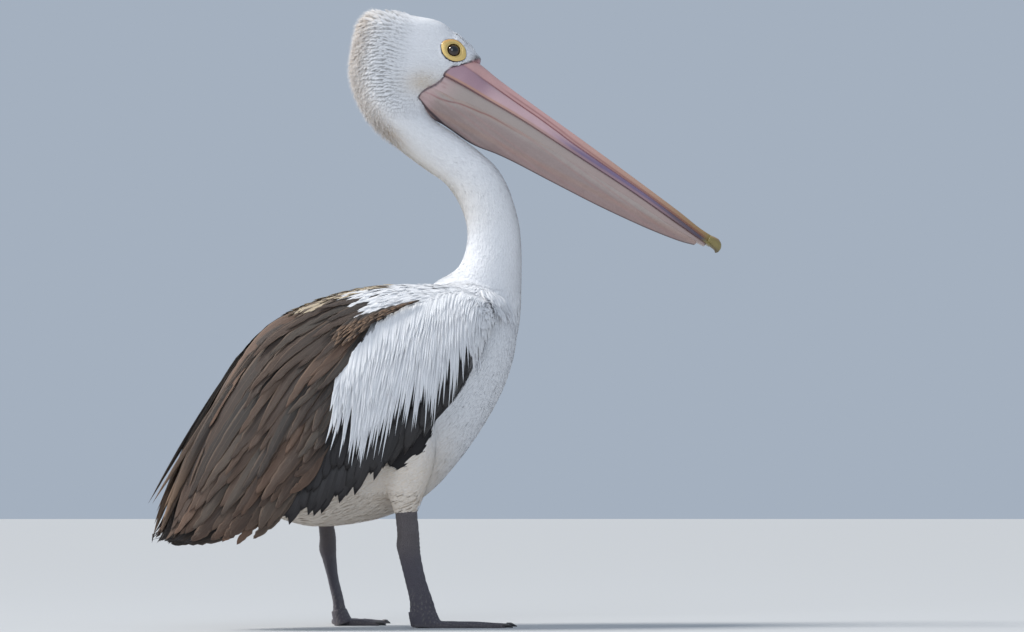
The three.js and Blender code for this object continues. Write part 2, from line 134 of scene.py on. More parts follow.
def laidOn(way, normals):
    # directions without their part along the normals, at length 1
    return unit(way - normals * dot(way, normals))


def smooth(low, high, x):
    # 0 below low, 1 above high, between them the S of 3 t squared less 2 t cubed
    t = np.clip((x - low) / (high - low), 0, 1)
    return t * t * (3 - 2 * t)


def mix(a, b, part):
    # a moved toward b by a part of the way: a + (b - a) * part
    return a + (b - a) * np.asarray(part)[..., None]


def bell(x, width):
    # 1 at 0, falling away to both sides as e to the minus (x over width) squared
    return np.exp(-(x / width) ** 2)


def layered(tone, shape, *steps):
    # the tone over that shape, then mixed with each step's tone by the step's part, one by one
    colour = np.broadcast_to(tone, (*shape, 3))
    for target, part in steps:
        colour = mix(colour, target, part)
    return colour


def splineThrough(rows, t):
    # centripetal Catmull-Rom through the rows, t from 0 to 1, carried straight on past 1
    rows = np.asarray(rows, float)
    last = len(rows) - 1
    padded = np.vstack([2 * rows[0] - rows[1], rows, 2 * rows[-1] - rows[-2]])
    gaps = np.maximum(np.sum(np.diff(padded, axis=0) ** 2, 1) ** 0.25, 1e-4)[:, None]
    a, b, c, d = padded[:-3], padded[1:-2], padded[2:-1], padded[3:]
    g0, g1, g2 = gaps[:-2], gaps[1:-1], gaps[2:]
    start = ((b - a) / g0 - (c - a) / (g0 + g1) + (c - b) / g1) * g1
    end = ((c - b) / g1 - (d - b) / (g1 + g2) + (d - c) / g2) * g2
    t = np.asarray(t, float)
    place = np.clip(t, 0, 1) * last
    i = np.minimum(place.astype(int), last - 1)
    x = (place - i)[..., None]
    b, c, start, end = b[i], c[i], start[i], end[i]
    value = b + start * x + (3 * (c - b) - 2 * start - end) * x ** 2 + (2 * (b - c) + start + end) * x ** 3
    return value + np.maximum(t - 1, 0)[..., None] * last * (rows[-1] - rows[-2])


def readAlong(rows, x):
    # the columns after the first, smoothly read where the first column is x
    dense = splineThrough(rows, np.linspace(0, 1, 60 * len(rows)))
    return [np.interp(x, dense[:, 0], dense[:, k]) for k in range(1, dense.shape[1])]


def roundGrid(rows, columns, low=0.0, high=1.0):
    # two arrays on a grid: rows even steps from low to high, and columns even angles of a full turn
    return np.meshgrid(np.linspace(low, high, rows), np.arange(columns) / columns * 2 * math.pi,
                       indexing="ij")


def turned(a, b, angle):
    # a and b turned in their plane: a cos - b sin and a sin + b cos
    return a * math.cos(angle) - b * math.sin(angle), a * math.sin(angle) + b * math.cos(angle)


def fromNeck(d, s, z):
    # neck's plane (forward, left, up) to the bird's millimetres: turned by neckTurn about neckPivot
    x = neckPivot + d * math.cos(neckTurn) + s * math.sin(neckTurn)
    y = -d * math.sin(neckTurn) + s * math.cos(neckTurn)
    return np.stack(np.broadcast_arrays(x, y, z), -1)


def toNeck(points):
    # the bird's millimetres back to the neck's forward, left and up
    return *turned(points[..., 0] - neckPivot, points[..., 1], neckTurn), points[..., 2]


def billPlane(t, h):
    # bill's axis (along, up) to the neck's forward and up: turned down by the slope from billRoot
    c, b = math.cos(billSlope), math.sin(billSlope)
    return billRoot[0] + t * c + h * b, billRoot[1] - t * b + h * c


def fromBill(t, s, h):
    # bill's axis (along, left, up) to the bird's millimetres
    d, z = billPlane(t, h)
    return fromNeck(d, s, z)


def toBill(d, z):
    # the neck's forward and up back to the bill's along and up
    return turned(d - billRoot[0], z - billRoot[1], billSlope)


def gridFaces(rows, columns):
    # four corners of each cell of a grid: point i, j and its next ones along and across
    i = np.arange(rows - 1)[:, None] * columns
    j = np.arange(columns)[None, :]
    a, b = i + j, i + (j + 1) % columns
    return np.stack([a, b, b + columns, a + columns], -1).reshape(-1, 4)


def closedGrid(points, firstPole, lastPole):
    # a grid of rings closed by a point at each end; turned outward if its volume is negative
    rows, columns = points.shape[:2]
    flat = np.concatenate([points.reshape(-1, 3), [firstPole], [lastPole]])
    j = np.arange(columns)
    n = (j + 1) % columns
    low, high = rows * columns, rows * columns + 1
    base = (rows - 1) * columns
    quads = gridFaces(rows, columns)
    caps = np.concatenate([np.stack([low + 0 * j, n, j], -1),
                           np.stack([high + 0 * j, base + j, base + n], -1)])
    a, b, c, d = (flat[quads[:, k]] for k in range(4))
    e, f, g = (flat[caps[:, k]] for k in range(3))
    volume = np.sum(a * np.cross(b, c)) + np.sum(a * np.cross(c, d)) + np.sum(e * np.cross(f, g))
    if volume < 0:
        quads, caps = quads[:, ::-1], caps[:, ::-1]
    return flat, [quads, caps]


def joinParts(parts):
    # several (points, faces) made one
    points, faces, count = [], [], 0
    for part, partFaces in parts:
        points.append(part)
        faces += [f + count for f in partFaces]
        count += len(part)
    return np.concatenate(points), faces


def paint(mesh, tint):
    # one colour for each point, kept in the mesh under the name tint
    colour = np.ones((len(mesh.vertices), 4), np.float32)
    colour[:, :3] = tint.reshape(-1, 3)
    layer = mesh.color_attributes.new(name="tint", type="FLOAT_COLOR", domain="POINT")
    layer.data.foreach_set("color", colour.ravel())


def addPiece(name, points, faces, material, tint=None, maps=None):
    # whole arrays into a mesh: points in millimetres, faces as arrays of equal rows
    mesh = bpy.data.meshes.new(name)
    place = ((np.asarray(points).reshape(-1, 3) + shift) / 1000).astype(np.float32)
    corners = np.concatenate([f.reshape(-1) for f in faces]).astype(np.int32)
    sizes = np.concatenate([np.full(len(f), f.shape[1]) for f in faces])
    mesh.vertices.add(len(place))
    mesh.vertices.foreach_set("co", place.ravel())
    mesh.loops.add(len(corners))
    mesh.loops.foreach_set("vertex_index", corners)
    mesh.polygons.add(len(sizes))
    mesh.polygons.foreach_set("loop_start", (np.cumsum(sizes) - sizes).astype(np.int32))
    mesh.update(calc_edges=True)
    mesh.polygons.foreach_set("use_smooth", np.ones(len(sizes), bool))
    for mapName, uv in (maps or {}).items():
        layer = mesh.uv_layers.new(name=mapName)
        layer.data.foreach_set("uv", uv.reshape(-1, 2)[corners].astype(np.float32).ravel())
    if tint is not None:
        paint(mesh, tint)
    piece = linked(name, mesh)
    mesh.materials.append(material)
    return piece


def movePoints(mesh, points):
    # the mesh's points set to these places, given in millimetres
    mesh.vertices.foreach_set("co", ((points + shift) / 1000).astype(np.float32).ravel())
    mesh.update()


def read(items, key, width=1, kind=np.float32):
    # what each item of a mesh holds under that key, as rows where it is more than one number
    values = np.empty(len(items) * width, kind)
    items.foreach_get(key, values)
    return values.reshape(-1, width) if width > 1 else values


def meshPoints(mesh):
    # the mesh's points in the bird's millimetres: metres times 1000 less the shift
    return read(mesh.vertices, "co", 3).astype(float) * 1000 - shift


def merged(name, parts, voxel, rounds):
    # closed parts melted into one skin: voxels of that size in millimetres, then smoothed
    points, faces = joinParts(parts)
    rough = addPiece(name + "_rough", points, faces, None)
    remesh = rough.modifiers.new("melt", "REMESH")
    remesh.mode = "VOXEL"
    remesh.voxel_size = voxel / 1000
    ease = rough.modifiers.new("ease", "SMOOTH")
    ease.factor = 0.5
    ease.iterations = rounds
    graph = bpy.context.evaluated_depsgraph_get()
    mesh = bpy.data.meshes.new_from_object(rough.evaluated_get(graph))
    mesh.name = name
    bpy.data.objects.remove(rough)
    piece = linked(name, mesh)
    mesh.polygons.foreach_set("use_smooth", np.ones(len(mesh.polygons), bool))
    mesh.materials.clear()
    return piece


def ellipseRing(centre, across, side, square, angle):
    # across * cosine + side * sine, both carried out until their powers of square add up to 1
    c, s = np.cos(angle), np.sin(angle)
    reach = (np.abs(c) ** square + np.abs(s) ** square) ** (-1 / square)
    return centre + across * (c * reach)[..., None] + side * (s * reach)[..., None]


def loftPoint(stations, u, angle, shrink=0.0):
    # a spline along u through the stations (first point, last point, half width, squareness) gives
    # the section's middle, height and width, less shrink; angle goes round it
    first = splineThrough([r[0:3] for r in stations], u)
    last = splineThrough([r[3:6] for r in stations], u)
    shape = splineThrough([(r[6], r[7] * 10, 0) for r in stations], u)
    e = 1e-3
    ends = [splineThrough([np.add(r[0:3], r[3:6]) / 2 for r in stations], np.clip(u + k, 0, 1))
            for k in (-e, e)]
    along = unit(ends[1] - ends[0])
    across = (first - last) / 2
    reach = np.linalg.norm(across, axis=-1, keepdims=True)
    across = across * np.maximum(reach - shrink, 1) / reach
    side = unit(np.cross(along, across)) * np.maximum(shape[..., :1] - shrink, 0.5)
    return ellipseRing((first + last) / 2, across, side, shape[..., 1] / 10, angle), (first + last) / 2, along


def loftSolid(stations, steps, sides, domes=(0, 0), shrink=0.0):
    # the stations' closed body, and past each end a dome: cosine of a growing angle across, sine on
    u, angle = roundGrid(steps + 1, sides)
    rings, centre, along = loftPoint(stations, u, angle, shrink)
    caps = []
    for end, sign in ((0, -1), (-1, 1)):
        reach = max(domes[end] - shrink, 0)
        grow = np.array([0.35, 0.62, 0.85]) * math.pi / 2
        dome = [centre[end] + (rings[end] - centre[end]) * math.cos(g)
                + along[end] * sign * reach * math.sin(g) for g in grow] if reach > 0 else []
        caps.append((dome, centre[end, 0] + along[end, 0] * sign * reach))
    every = caps[0][0][::-1] + list(rings) + caps[1][0]
    return closedGrid(np.array(every), caps[0][1], caps[1][1])


# stations of the body, in millimetres
def neckRow(back, front, half, square=2.2):
    # a station of the neck from its points at the back and in front, in the neck's plane
    return [*fromNeck(back[0], 0, back[1]), *fromNeck(front[0], 0, front[1]), half, square]


# the neck's outline: back and front point, half width and, where it isn't 2.2, squareness
neckOutline = [
    ((-128, 470), (14, 372), 58), ((-94, 503), (31, 440), 50), ((-61, 524), (34, 506), 42),
    ((-47.5, 566), (34, 562), 36), ((-54, 607), (28, 604), 34), ((-77, 647), (2, 668), 32),
    ((-112, 673), (-58, 720), 31), ((-153, 705), (-95, 745), 32), ((-190, 745), (-104, 763), 34),
    ((-209, 782), (-88, 782), 35), ((-216, 808), (-44, 806), 36, 2.5), ((-216, 832), (-21, 828), 36, 2.9),
    ((-211, 858), (-49, 858), 33, 3.2), ((-203, 885), (-82, 887), 27, 2.8),
    ((-188, 901), (-120, 896), 15, 2.4)]
neckStations = [neckRow(*row) for row in neckOutline]
hindneck = np.array([row[0] for row in neckOutline], float)
trunkStations = [[x0, 0, z0, x1, 0, z1, half, 2] for x0, z0, x1, z1, half in (
    (72, 498, 185, 452, 54), (36, 493, 180, 398, 78), (0, 489, 154, 330, 94), (-48, 483, 102, 252, 101),
    (-94, 470, 43, 190, 101), (-138, 438, -16, 158, 96), (-180, 388, -84, 144, 86),
    (-212, 326, -140, 142, 68), (-230, 266, -184, 152, 44))]
wingStations = [
    [106, 66, 471, 112, 90, 438, 16, 2], [70, 40, 490, 80, 104, 388, 34, 2],
    [24, 26, 494, 48, 112, 330, 42, 2], [-34, 16, 491, 6, 116, 284, 45, 2],
    [-92, 11, 479, -42, 114, 249, 45, 2], [-152, 9, 459, -96, 107, 207, 42, 2],
    [-208, 8, 428, -150, 95, 173, 37, 2], [-253, 8, 377, -206, 80, 149, 30, 2],
    [-290, 9, 317, -256, 64, 128, 23, 2], [-319, 10, 254, -296, 50, 118, 17, 2],
    [-342, 12, 190, -328, 40, 115, 11, 2]]
legs = {
    "right": {"side": -1, "thigh": (-34, 296), "top": (-26, 160), "ankle": (-22.5, 117), "heel": (1, 18),
              "toeOut": 8},
    "left": {"side": 1, "thigh": (-88, 292), "top": (-84, 143), "ankle": (-81, 112), "heel": (-62, 18),
             "toeOut": 50}}
legApart = 75.0
featherEdge = np.array([
    (-30.5, 833), (-44, 827), (-58, 822), (-72, 818), (-79, 810), (-84, 799), (-93, 792), (-105, 786.5),
    (-114, 781.5), (-119, 774), (-104, 757), (-79, 734), (-40, 707), (-12, 682)], float)
eye = {"place": (-68.0, 841.5), "out": 22.5, "radius": 12.5, "forward": 13, "upward": 13, "tilt": 35,
       "long": 19.5, "high": 16.5}


def legRow(leg, place, depth, width):
    # a station of the leg: from depth in front of place to depth behind, turned by the foot's angle
    turn = math.radians(leg["toeOut"]) * leg["side"]
    y = leg["side"] * legApart
    dx, dy = depth * math.cos(turn), depth * math.sin(turn)
    return [place[0] + dx, y + dy, place[1], place[0] - dx, y - dy, place[1], width, 2]


def mirroredRows(rows, side):
    # the stations with their left-right places times side
    return [[r[0], side * r[1], r[2], r[3], side * r[4], r[5], *r[6:]] for r in rows]


def wingPoint(u, f, side):
    # folded wing: u from shoulder to tips, f from the back's edge to the lower edge,
    # bowed outward by its half width times a rounded hump over f
    rows = np.array(wingStations, float)
    top, low = splineThrough(rows[:, 0:3], u), splineThrough(rows[:, 3:6], u)
    half = splineThrough(rows[:, 6:7] * [1, 0, 0], np.minimum(u, 1))[..., 0]
    middle = (rows[:, 0:3] + rows[:, 3:6]) / 2
    along = (splineThrough(middle, np.minimum(u, 0.999) + 1e-3)
             - splineThrough(middle, np.minimum(u, 0.999) - 1e-3))
    outward = unit(np.cross(along, top - low))
    outward = outward * np.sign(outward[..., 1:2])
    hump = np.maximum(1 - np.abs(2 * np.clip(f, 0, 1) - 1) ** 2.1, 0) ** (1 / 2.1)
    point = top + (low - top) * np.maximum(f, 0)[..., None] + outward * (half * hump)[..., None]
    return (point + np.minimum(f, 0)[..., None] * [0.0, 200.0, 50.0]) * [1, side, 1]


def wingNormal(u, f, side):
    # square to the wing: the cross product of small steps along u and f, turned outward
    f = np.clip(f, 0.03, 0.97)
    e = 4e-3
    du = wingPoint(u + e, f, side) - wingPoint(u - e, f, side)
    df = wingPoint(u, f + e, side) - wingPoint(u, f - e, side)
    normal = unit(np.cross(du, df))
    return normal * np.sign(dot(normal, [0.0, side, 0.35]))


# where a point of the body is
def edgeDistance(d, z):
    # shortest distance to the line where the face's feathers end; positive on the bill's side, where
    # a level ray crosses the outline an odd number of times
    outline = np.vstack([(400, 834), featherEdge, (4, 672), (400, 420)])
    nxt = np.roll(outline, -1, axis=0)
    p = np.stack([d, z], -1)[..., None, :]
    seg = nxt - outline
    t = np.clip(np.sum((p - outline) * seg, -1) / np.sum(seg * seg, -1), 0, 1)
    near = np.min(np.linalg.norm(p - outline - t[..., None] * seg, axis=-1), -1)
    crossing = ((outline[:, 1] > z[..., None]) != (nxt[:, 1] > z[..., None])) & (
        d[..., None] < seg[:, 0] * (z[..., None] - outline[:, 1]) / (seg[:, 1] + 1e-9) + outline[:, 0])
    inside = np.sum(crossing, -1) % 2 == 1
    return np.where(inside, near, -near)


def eyeLocal(points, side):
    # place in the eye's own frame (along its long way, across it, outward): less the eye's place,
    # then turned by forward, upward and tilt
    d, s, z = toNeck(points)
    x, y, z = d - eye["place"][0], s - side * eye["out"], z - eye["place"][1]
    x, y = turned(x, y, side * math.radians(eye["forward"]))
    y, z = turned(y, z, -side * math.radians(eye["upward"]))
    return *turned(x, z, math.radians(eye["tilt"])), y * side


def fromEye(a, b, c, side):
    # the eye's own frame back to the bird's millimetres: eyeLocal's turns undone in reverse
    x, z = turned(a, b, -math.radians(eye["tilt"]))
    y, z = turned(c * side, z, side * math.radians(eye["upward"]))
    x, y = turned(x, y, -side * math.radians(eye["forward"]))
    return fromNeck(x + eye["place"][0], y + side * eye["out"], z + eye["place"][1])


def eyeRim(points):
    # distance from the nearer eye's axis over the bare ring's half width that way, so 1 on its rim
    _, s, _ = toNeck(points)
    rims = []
    for side in (-1, 1):
        a, b, c = eyeLocal(points, side)
        rims.append(np.where(c > -6, np.hypot(a / eye["long"], b / eye["high"]), 9))
    return np.where(s < 0, rims[0], rims[1])


def buildField(points, cell, rounds):
    # a table of cells, each holding the index of a close point, spread outward cell by cell
    low = points.min(0) - cell * (rounds + 2)
    size = np.ceil((points.max(0) - low) / cell).astype(int) + rounds + 3
    table = np.full(size, -1, np.int32)
    spot = ((points - low) / cell).astype(int)
    table[spot[:, 0], spot[:, 1], spot[:, 2]] = np.arange(len(points))
    for _ in range(rounds):
        for axis in range(3):
            for step in (1, -1):
                moved = np.roll(table, step, axis)
                table = np.where(table < 0, moved, table)
    return {"low": low, "cell": cell, "table": table}


def nearest(field, points):
    # the index that buildField's table holds in each point's cell, -1 where there is none
    spot = ((points - field["low"]) / field["cell"]).astype(int)
    spot = np.clip(spot, 0, np.array(field["table"].shape) - 1)
    return field["table"][spot[..., 0], spot[..., 1], spot[..., 2]]


# markings: one function for skin and coat
# the grey tone is painted shade, used round the eye
tones = {
    "white": linear(236, 237, 240), "cream": linear(226, 207, 176), "buff": linear(172, 142, 104),
    "warm": linear(222, 206, 186), "grey": linear(204, 208, 218), "cheek": linear(212, 198, 180),
    "brown": linear(92, 72, 60), "rust": linear(126, 95, 75), "black": linear(38, 36, 38),
    "tan": linear(176, 140, 110), "bare": linear(186, 146, 152), "dark": linear(46, 40, 44)}


def inFront(d, z):
    # how far forward of the hindneck's outline a place of the neck's plane is at its height
    return d - np.interp(z, hindneck[:, 1], hindneck[:, 0])


def plumageTint(points, wingU, wingF):
    # white, layered with cream behind, buff on the nape, grey-beige on the cheek, blue-grey painted shade
    # round the eye and, where the wing place (wingU, wingF) says so, brown and black; wingU below 0 is off
    # the wing
    d, s, z = toNeck(points)
    behind = inFront(d, z)
    high = smooth(560, 640, z) * (np.abs(s) < 60)
    nape = smooth(690, 730, z) * smooth(905, 888, z)
    tip = smooth(13, 6, np.hypot(d + 33, z - 826)) * smooth(26, 16, np.abs(s))
    low = smooth(330, 220, z) * smooth(110, 10, points[..., 0])
    onWing = wingU >= 0
    edge = np.interp(wingF, [0, 0.2, 0.25, 0.35, 0.40, 0.45, 0.52, 0.6, 0.67, 1],
                     [0.43, 0.44, 0.30, 0.39, 0.45, 0.50, 0.53, 0.55, 0.56, 0.5])
    return layered(tones["white"], points.shape[:-1],
                   (tones["cream"], 0.55 * high * np.exp(-np.maximum(behind - 2, 0) / 22)),
                   (tones["buff"], 0.80 * nape * bell(np.maximum(behind - 4, 0), 17)),
                   (tones["cheek"], 0.9 * np.exp(-((d + 109) / 25) ** 2 - ((z - 796) / 17) ** 2)),
                   # painted shade: blue-grey round the eye
                   (tones["grey"], smooth(28, 14, np.hypot(d + 60, z - 838)) * 0.25),
                   (tones["dark"], 0.9 * tip), (tones["warm"], 0.85 * low),
                   (tones["brown"], smooth(0.0, 0.03, wingU - edge) * onWing),
                   (tones["black"], smooth(0.52, 0.60, wingF) * smooth(0.08, 0.16, wingU) * onWing))


# materials
def newNode(tree, kind, **inputs):
    # a shader node with these inputs set
    node = tree.nodes.new("ShaderNode" + kind)
    for name, value in inputs.items():
        node.inputs[name.replace("_", " ")].default_value = value
    return node


def mathNode(tree, operation, a, b=None, c=None):
    # the operation on a, b and c, each a number or another node's output
    node = newNode(tree, "Math")
    node.operation = operation
    for i, value in enumerate((a, b, c)):
        if isinstance(value, (int, float)):
            node.inputs[i].default_value = value
        elif value is not None:
            tree.links.new(value, node.inputs[i])
    return node.outputs[0]


def newGroup(name, numbers, results):
    # a shader node group that takes a vector and these numbers and gives the results
    tree = bpy.data.node_groups.new(name, "ShaderNodeTree")
    sockets = tree.interface
    sockets.new_socket(name="Vector", in_out="INPUT", socket_type="NodeSocketVector")
    for label, value in numbers.items():
        sockets.new_socket(name=label, in_out="INPUT", socket_type="NodeSocketFloat").default_value = value
    for label in results:
        sockets.new_socket(name=label, in_out="OUTPUT", socket_type="NodeSocketFloat")
    return tree, tree.nodes.new("NodeGroupInput"), tree.nodes.new("NodeGroupOutput")


def groupNode(tree, group, vector, **inputs):
    # a node group fed with that vector and these numbers
    node = newNode(tree, "Group")
    node.node_tree = group
    tree.links.new(vector, node.inputs["Vector"])
    for label, value in inputs.items():
        node.inputs[label.replace("_", " ")].default_value = value
    return node


def makeBarbs():
    # from a vane's own map: Ridge is a sine of Count * (y - Slant * distance from the shaft), Shaft
    # is 1 on the shaft, Edge 1 at the rim, Split a noise drawn out along the ridges
    tree, into, out = newGroup("barbs", {"Count": 60.0, "Slant": 1.2, "Shaft Width": 0.03},
                               ("Ridge", "Shaft", "Edge", "Split"))

    def work(operation, *values):
        return mathNode(tree, operation, *values)

    split = newNode(tree, "SeparateXYZ")
    tree.links.new(into.outputs["Vector"], split.inputs[0])
    aside = work("ABSOLUTE", work("SUBTRACT", split.outputs[0], 0.5))
    run = work("SUBTRACT", split.outputs[1], work("MULTIPLY", aside, into.outputs["Slant"]))
    turns = work("MULTIPLY", work("MULTIPLY", run, into.outputs["Count"]), 6.283)
    narrow = work("DIVIDE", aside, into.outputs["Shaft Width"])
    rim = work("MAXIMUM", work("MULTIPLY", work("SUBTRACT", aside, 0.30), 5.0), 0.0)
    squash = newNode(tree, "CombineXYZ")
    slow = work("MULTIPLY", into.outputs["Count"], 0.35)
    tree.links.new(work("MULTIPLY", run, slow), squash.inputs[0])
    tree.links.new(work("MULTIPLY", aside, 2.0), squash.inputs[1])
    grain = newNode(tree, "TexNoise", Scale=1.0, Detail=2.0)
    tree.links.new(squash.outputs[0], grain.inputs["Vector"])
    for label, value in (("Ridge", work("MULTIPLY_ADD", work("SINE", turns), 0.5, 0.5)),
                         ("Shaft", work("SUBTRACT", 1.0, work("MINIMUM", narrow, 1.0))),
                         ("Edge", work("MINIMUM", rim, 1.0)), ("Split", grain.outputs[0])):
        tree.links.new(value, out.inputs[label])
    return tree


def makeMottle():
    # two noises on one vector, soft blotches of Size and a grain of Fine, with values round 0.5
    tree, into, out = newGroup("mottle", {"Size": 40.0, "Fine": 400.0}, ("Blotch", "Grain"))
    for name, label, detail in (("Blotch", "Size", 3.0), ("Grain", "Fine", 4.0)):
        noise = newNode(tree, "TexNoise", Detail=detail)
        tree.links.new(into.outputs["Vector"], noise.inputs["Vector"])
        tree.links.new(into.outputs[label], noise.inputs["Scale"])
        tree.links.new(noise.outputs[0], out.inputs[name])
    return tree


barbs, mottle = makeBarbs(), makeMottle()


def startMaterial(name, **fixed):
    # a Principled material with these inputs fixed, and the mesh's tint as a colour
    material = bpy.data.materials.new(name)
    material.use_nodes = True
    tree = material.node_tree
    shader = tree.nodes["Principled BSDF"]
    for label, value in fixed.items():
        shader.inputs[label.replace("_", " ")].default_value = value
    paintNode = newNode(tree, "Attribute")
    paintNode.attribute_name = "tint"
    return material, tree, shader, paintNode.outputs["Color"]


def shade(tree, colour, factor, low, high):
    # colour times a brightness that goes from low to high as factor goes from 0 to 1
    level = mathNode(tree, "MULTIPLY_ADD", factor, high - low, low)
    scale = newNode(tree, "VectorMath")
    scale.operation = "SCALE"
    tree.links.new(colour, scale.inputs[0])
    tree.links.new(level, scale.inputs["Scale"])
    return scale.outputs[0]


def blendTo(tree, colour, factor, target, amount):
    # colour moved toward a fixed target by factor times amount
    node = newNode(tree, "Mix")
    node.data_type = "RGBA"
    tree.links.new(mathNode(tree, "MULTIPLY", factor, amount), node.inputs["Factor"])
    tree.links.new(colour, node.inputs["A"])
    node.inputs["B"].default_value = (*target, 1)
    return node.outputs["Result"]


def coloured(material, tree, shader, colour, relief, height):
    # the colour into the shader, and its surface raised by relief times height in metres
    tree.links.new(colour, shader.inputs["Base Color"])
    if height:
        node = newNode(tree, "Bump", Strength=1.0, Distance=height)
        tree.links.new(relief, node.inputs["Height"])
        tree.links.new(node.outputs[0], shader.inputs["Normal"])
    return material


def featherMaterial(name, count, slant, shaft, shaftTone, edgeTone, ridge, edge, height, **fixed):
    # tint * ridges * splits, drawn toward edgeTone at the worn rim and shaftTone on the shaft
    material, tree, shader, colour = startMaterial(name, **fixed)
    uv = newNode(tree, "UVMap")
    uv.uv_map = "vane"
    node = groupNode(tree, barbs, uv.outputs[0], Count=count, Slant=slant, Shaft_Width=shaft)
    colour = shade(tree, colour, node.outputs["Ridge"], 1 - ridge, 1 + 0.4 * ridge)
    colour = shade(tree, colour, node.outputs["Split"], 1 - 1.2 * ridge, 1 + 1.2 * ridge)
    worn = mathNode(tree, "MULTIPLY", node.outputs["Edge"], node.outputs["Split"])
    colour = blendTo(tree, colour, worn, edgeTone, edge)
    colour = blendTo(tree, colour, node.outputs["Shaft"], shaftTone, 0.7)
    relief = mathNode(tree, "MULTIPLY_ADD", node.outputs["Shaft"], 1.5, node.outputs["Ridge"])
    return coloured(material, tree, shader, colour, relief, height)


def skinMaterial(name, size, fine, blotch, grain, height, scales=0.0, **fixed):
    # tint * blotches * grain, pitted by the grain; scales are darker, lower borders of small cells
    material, tree, shader, colour = startMaterial(name, **fixed)
    place = newNode(tree, "TexCoord")
    node = groupNode(tree, mottle, place.outputs["Object"], Size=size, Fine=fine)
    colour = shade(tree, colour, node.outputs["Blotch"], 1 - blotch, 1 + blotch)
    colour = shade(tree, colour, node.outputs["Grain"], 1 - grain, 1 + grain)
    relief = node.outputs["Grain"]
    if scales:
        cells = newNode(tree, "TexVoronoi", Scale=scales)
        cells.feature = "DISTANCE_TO_EDGE"
        tree.links.new(place.outputs["Object"], cells.inputs["Vector"])
        rim = mathNode(tree, "MINIMUM", mathNode(tree, "MULTIPLY", cells.outputs["Distance"], 6.0), 1.0)
        colour = shade(tree, colour, rim, 0.80, 1.03)
        relief = mathNode(tree, "MULTIPLY_ADD", rim, 1.0, relief)
    return coloured(material, tree, shader, colour, relief, height)


pale = tuple(tones["white"])
materials = {
    "skin": skinMaterial("underSkin", size=30, fine=300, blotch=0.08, grain=0.05, height=0.0004,
                         Roughness=0.85),
    "down": featherMaterial("whiteDown", count=3, slant=0.6, shaft=0.10, shaftTone=pale, edgeTone=pale,
                            ridge=0.06, edge=0.0, height=0.0, Roughness=0.85),
    "plume": featherMaterial("whitePlume", count=26, slant=0.5, shaft=0.05,
                             shaftTone=tuple(linear(245, 245, 246)), edgeTone=pale, ridge=0.07, edge=0.0,
                             height=0.0001, Roughness=0.75),
    "dark": featherMaterial("darkVane", count=58, slant=0.5, shaft=0.022,
                            shaftTone=tuple(linear(112, 92, 78)), edgeTone=tuple(linear(158, 126, 100)),
                            ridge=0.34, edge=0.60, height=0.0002, Roughness=0.62, Sheen_Weight=0.08),
    "black": featherMaterial("blackVane", count=60, slant=0.5, shaft=0.018,
                             shaftTone=tuple(linear(70, 64, 64)), edgeTone=tuple(linear(64, 58, 56)),
                             ridge=0.12, edge=0.2, height=0.00015, Roughness=0.42),
    "bill": skinMaterial("billHorn", size=60, fine=500, blotch=0.06, grain=0.05, height=0.00015,
                         Roughness=0.40, Coat_Weight=0.12, Coat_Roughness=0.25),
    "pouch": skinMaterial("pouchSkin", size=50, fine=330, blotch=0.10, grain=0.10, height=0.0005,
                          Roughness=0.50, Coat_Weight=0.05),
    "nail": skinMaterial("billNail", size=80, fine=500, blotch=0.10, grain=0.06, height=0.0002,
                         Roughness=0.35, Coat_Weight=0.2),
    "ring": skinMaterial("eyeRing", size=90, fine=700, blotch=0.12, grain=0.14, height=0.0004,
                         Roughness=0.45, Coat_Weight=0.15),
    "ball": skinMaterial("eyeBall", size=60, fine=500, blotch=0.04, grain=0.02, height=0.0,
                         Roughness=0.04, Coat_Weight=1.0, Coat_Roughness=0.02, IOR=1.38),
    "leg": skinMaterial("legSkin", size=50, fine=400, blotch=0.16, grain=0.10, height=0.0007,
                        scales=420.0, Roughness=0.58),
    "claw": skinMaterial("clawHorn", size=90, fine=500, blotch=0.15, grain=0.08, height=0.0002,
                         Roughness=0.35, Coat_Weight=0.15)}
print("materials made")


def finishPiece(piece, slotName, *nodes):
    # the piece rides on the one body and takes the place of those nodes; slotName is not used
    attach(piece, "root")
    if nodes:
        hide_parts(*nodes)


def madePiece(name, points, faces, look, tint, slotName, *nodes):
    # a piece of that material, finished
    finishPiece(addPiece(name, points, faces, materials[look], tint), slotName, *nodes)


# skin
skinDepth = {"neck": 3.0, "trunk": 5.0, "wing": 12.0, "thigh": 3.5}
skinMesh = {"voxel": 4.3, "easing": 8, "lookup": 9, "shade": 0.97, "rootNarrow": 0.45, "rootDrop": 3}


# along the bill: its upper half's top, bottom and half width
upperRows = [(-44, 40.2, -6.2, 31.2), (-40, 40, -6, 31), (10, 39.5, -2.5, 29.5), (52, 34.5, -1.2, 26),
             (110, 30, 0.5, 22.5), (196, 24.3, -1, 19), (306, 15.7, -3.5, 18), (380, 9.2, -8, 19.5),
             (416, 4.8, -10, 18), (440, 4.2, -10.5, 12.5), (446, 4.0, -10.6, 11)]


def thighRows(leg):
    # four stations from inside the trunk down to the bare shank's top
    return [legRow(leg, leg["thigh"], 52, 38),
            legRow(leg, (leg["thigh"][0] + 6, leg["thigh"][1] - 60), 46, 33),
            legRow(leg, (leg["top"][0], leg["top"][1] + 34), 30, 23),
            legRow(leg, (leg["top"][0], leg["top"][1] + 2), 18, 11.5)]


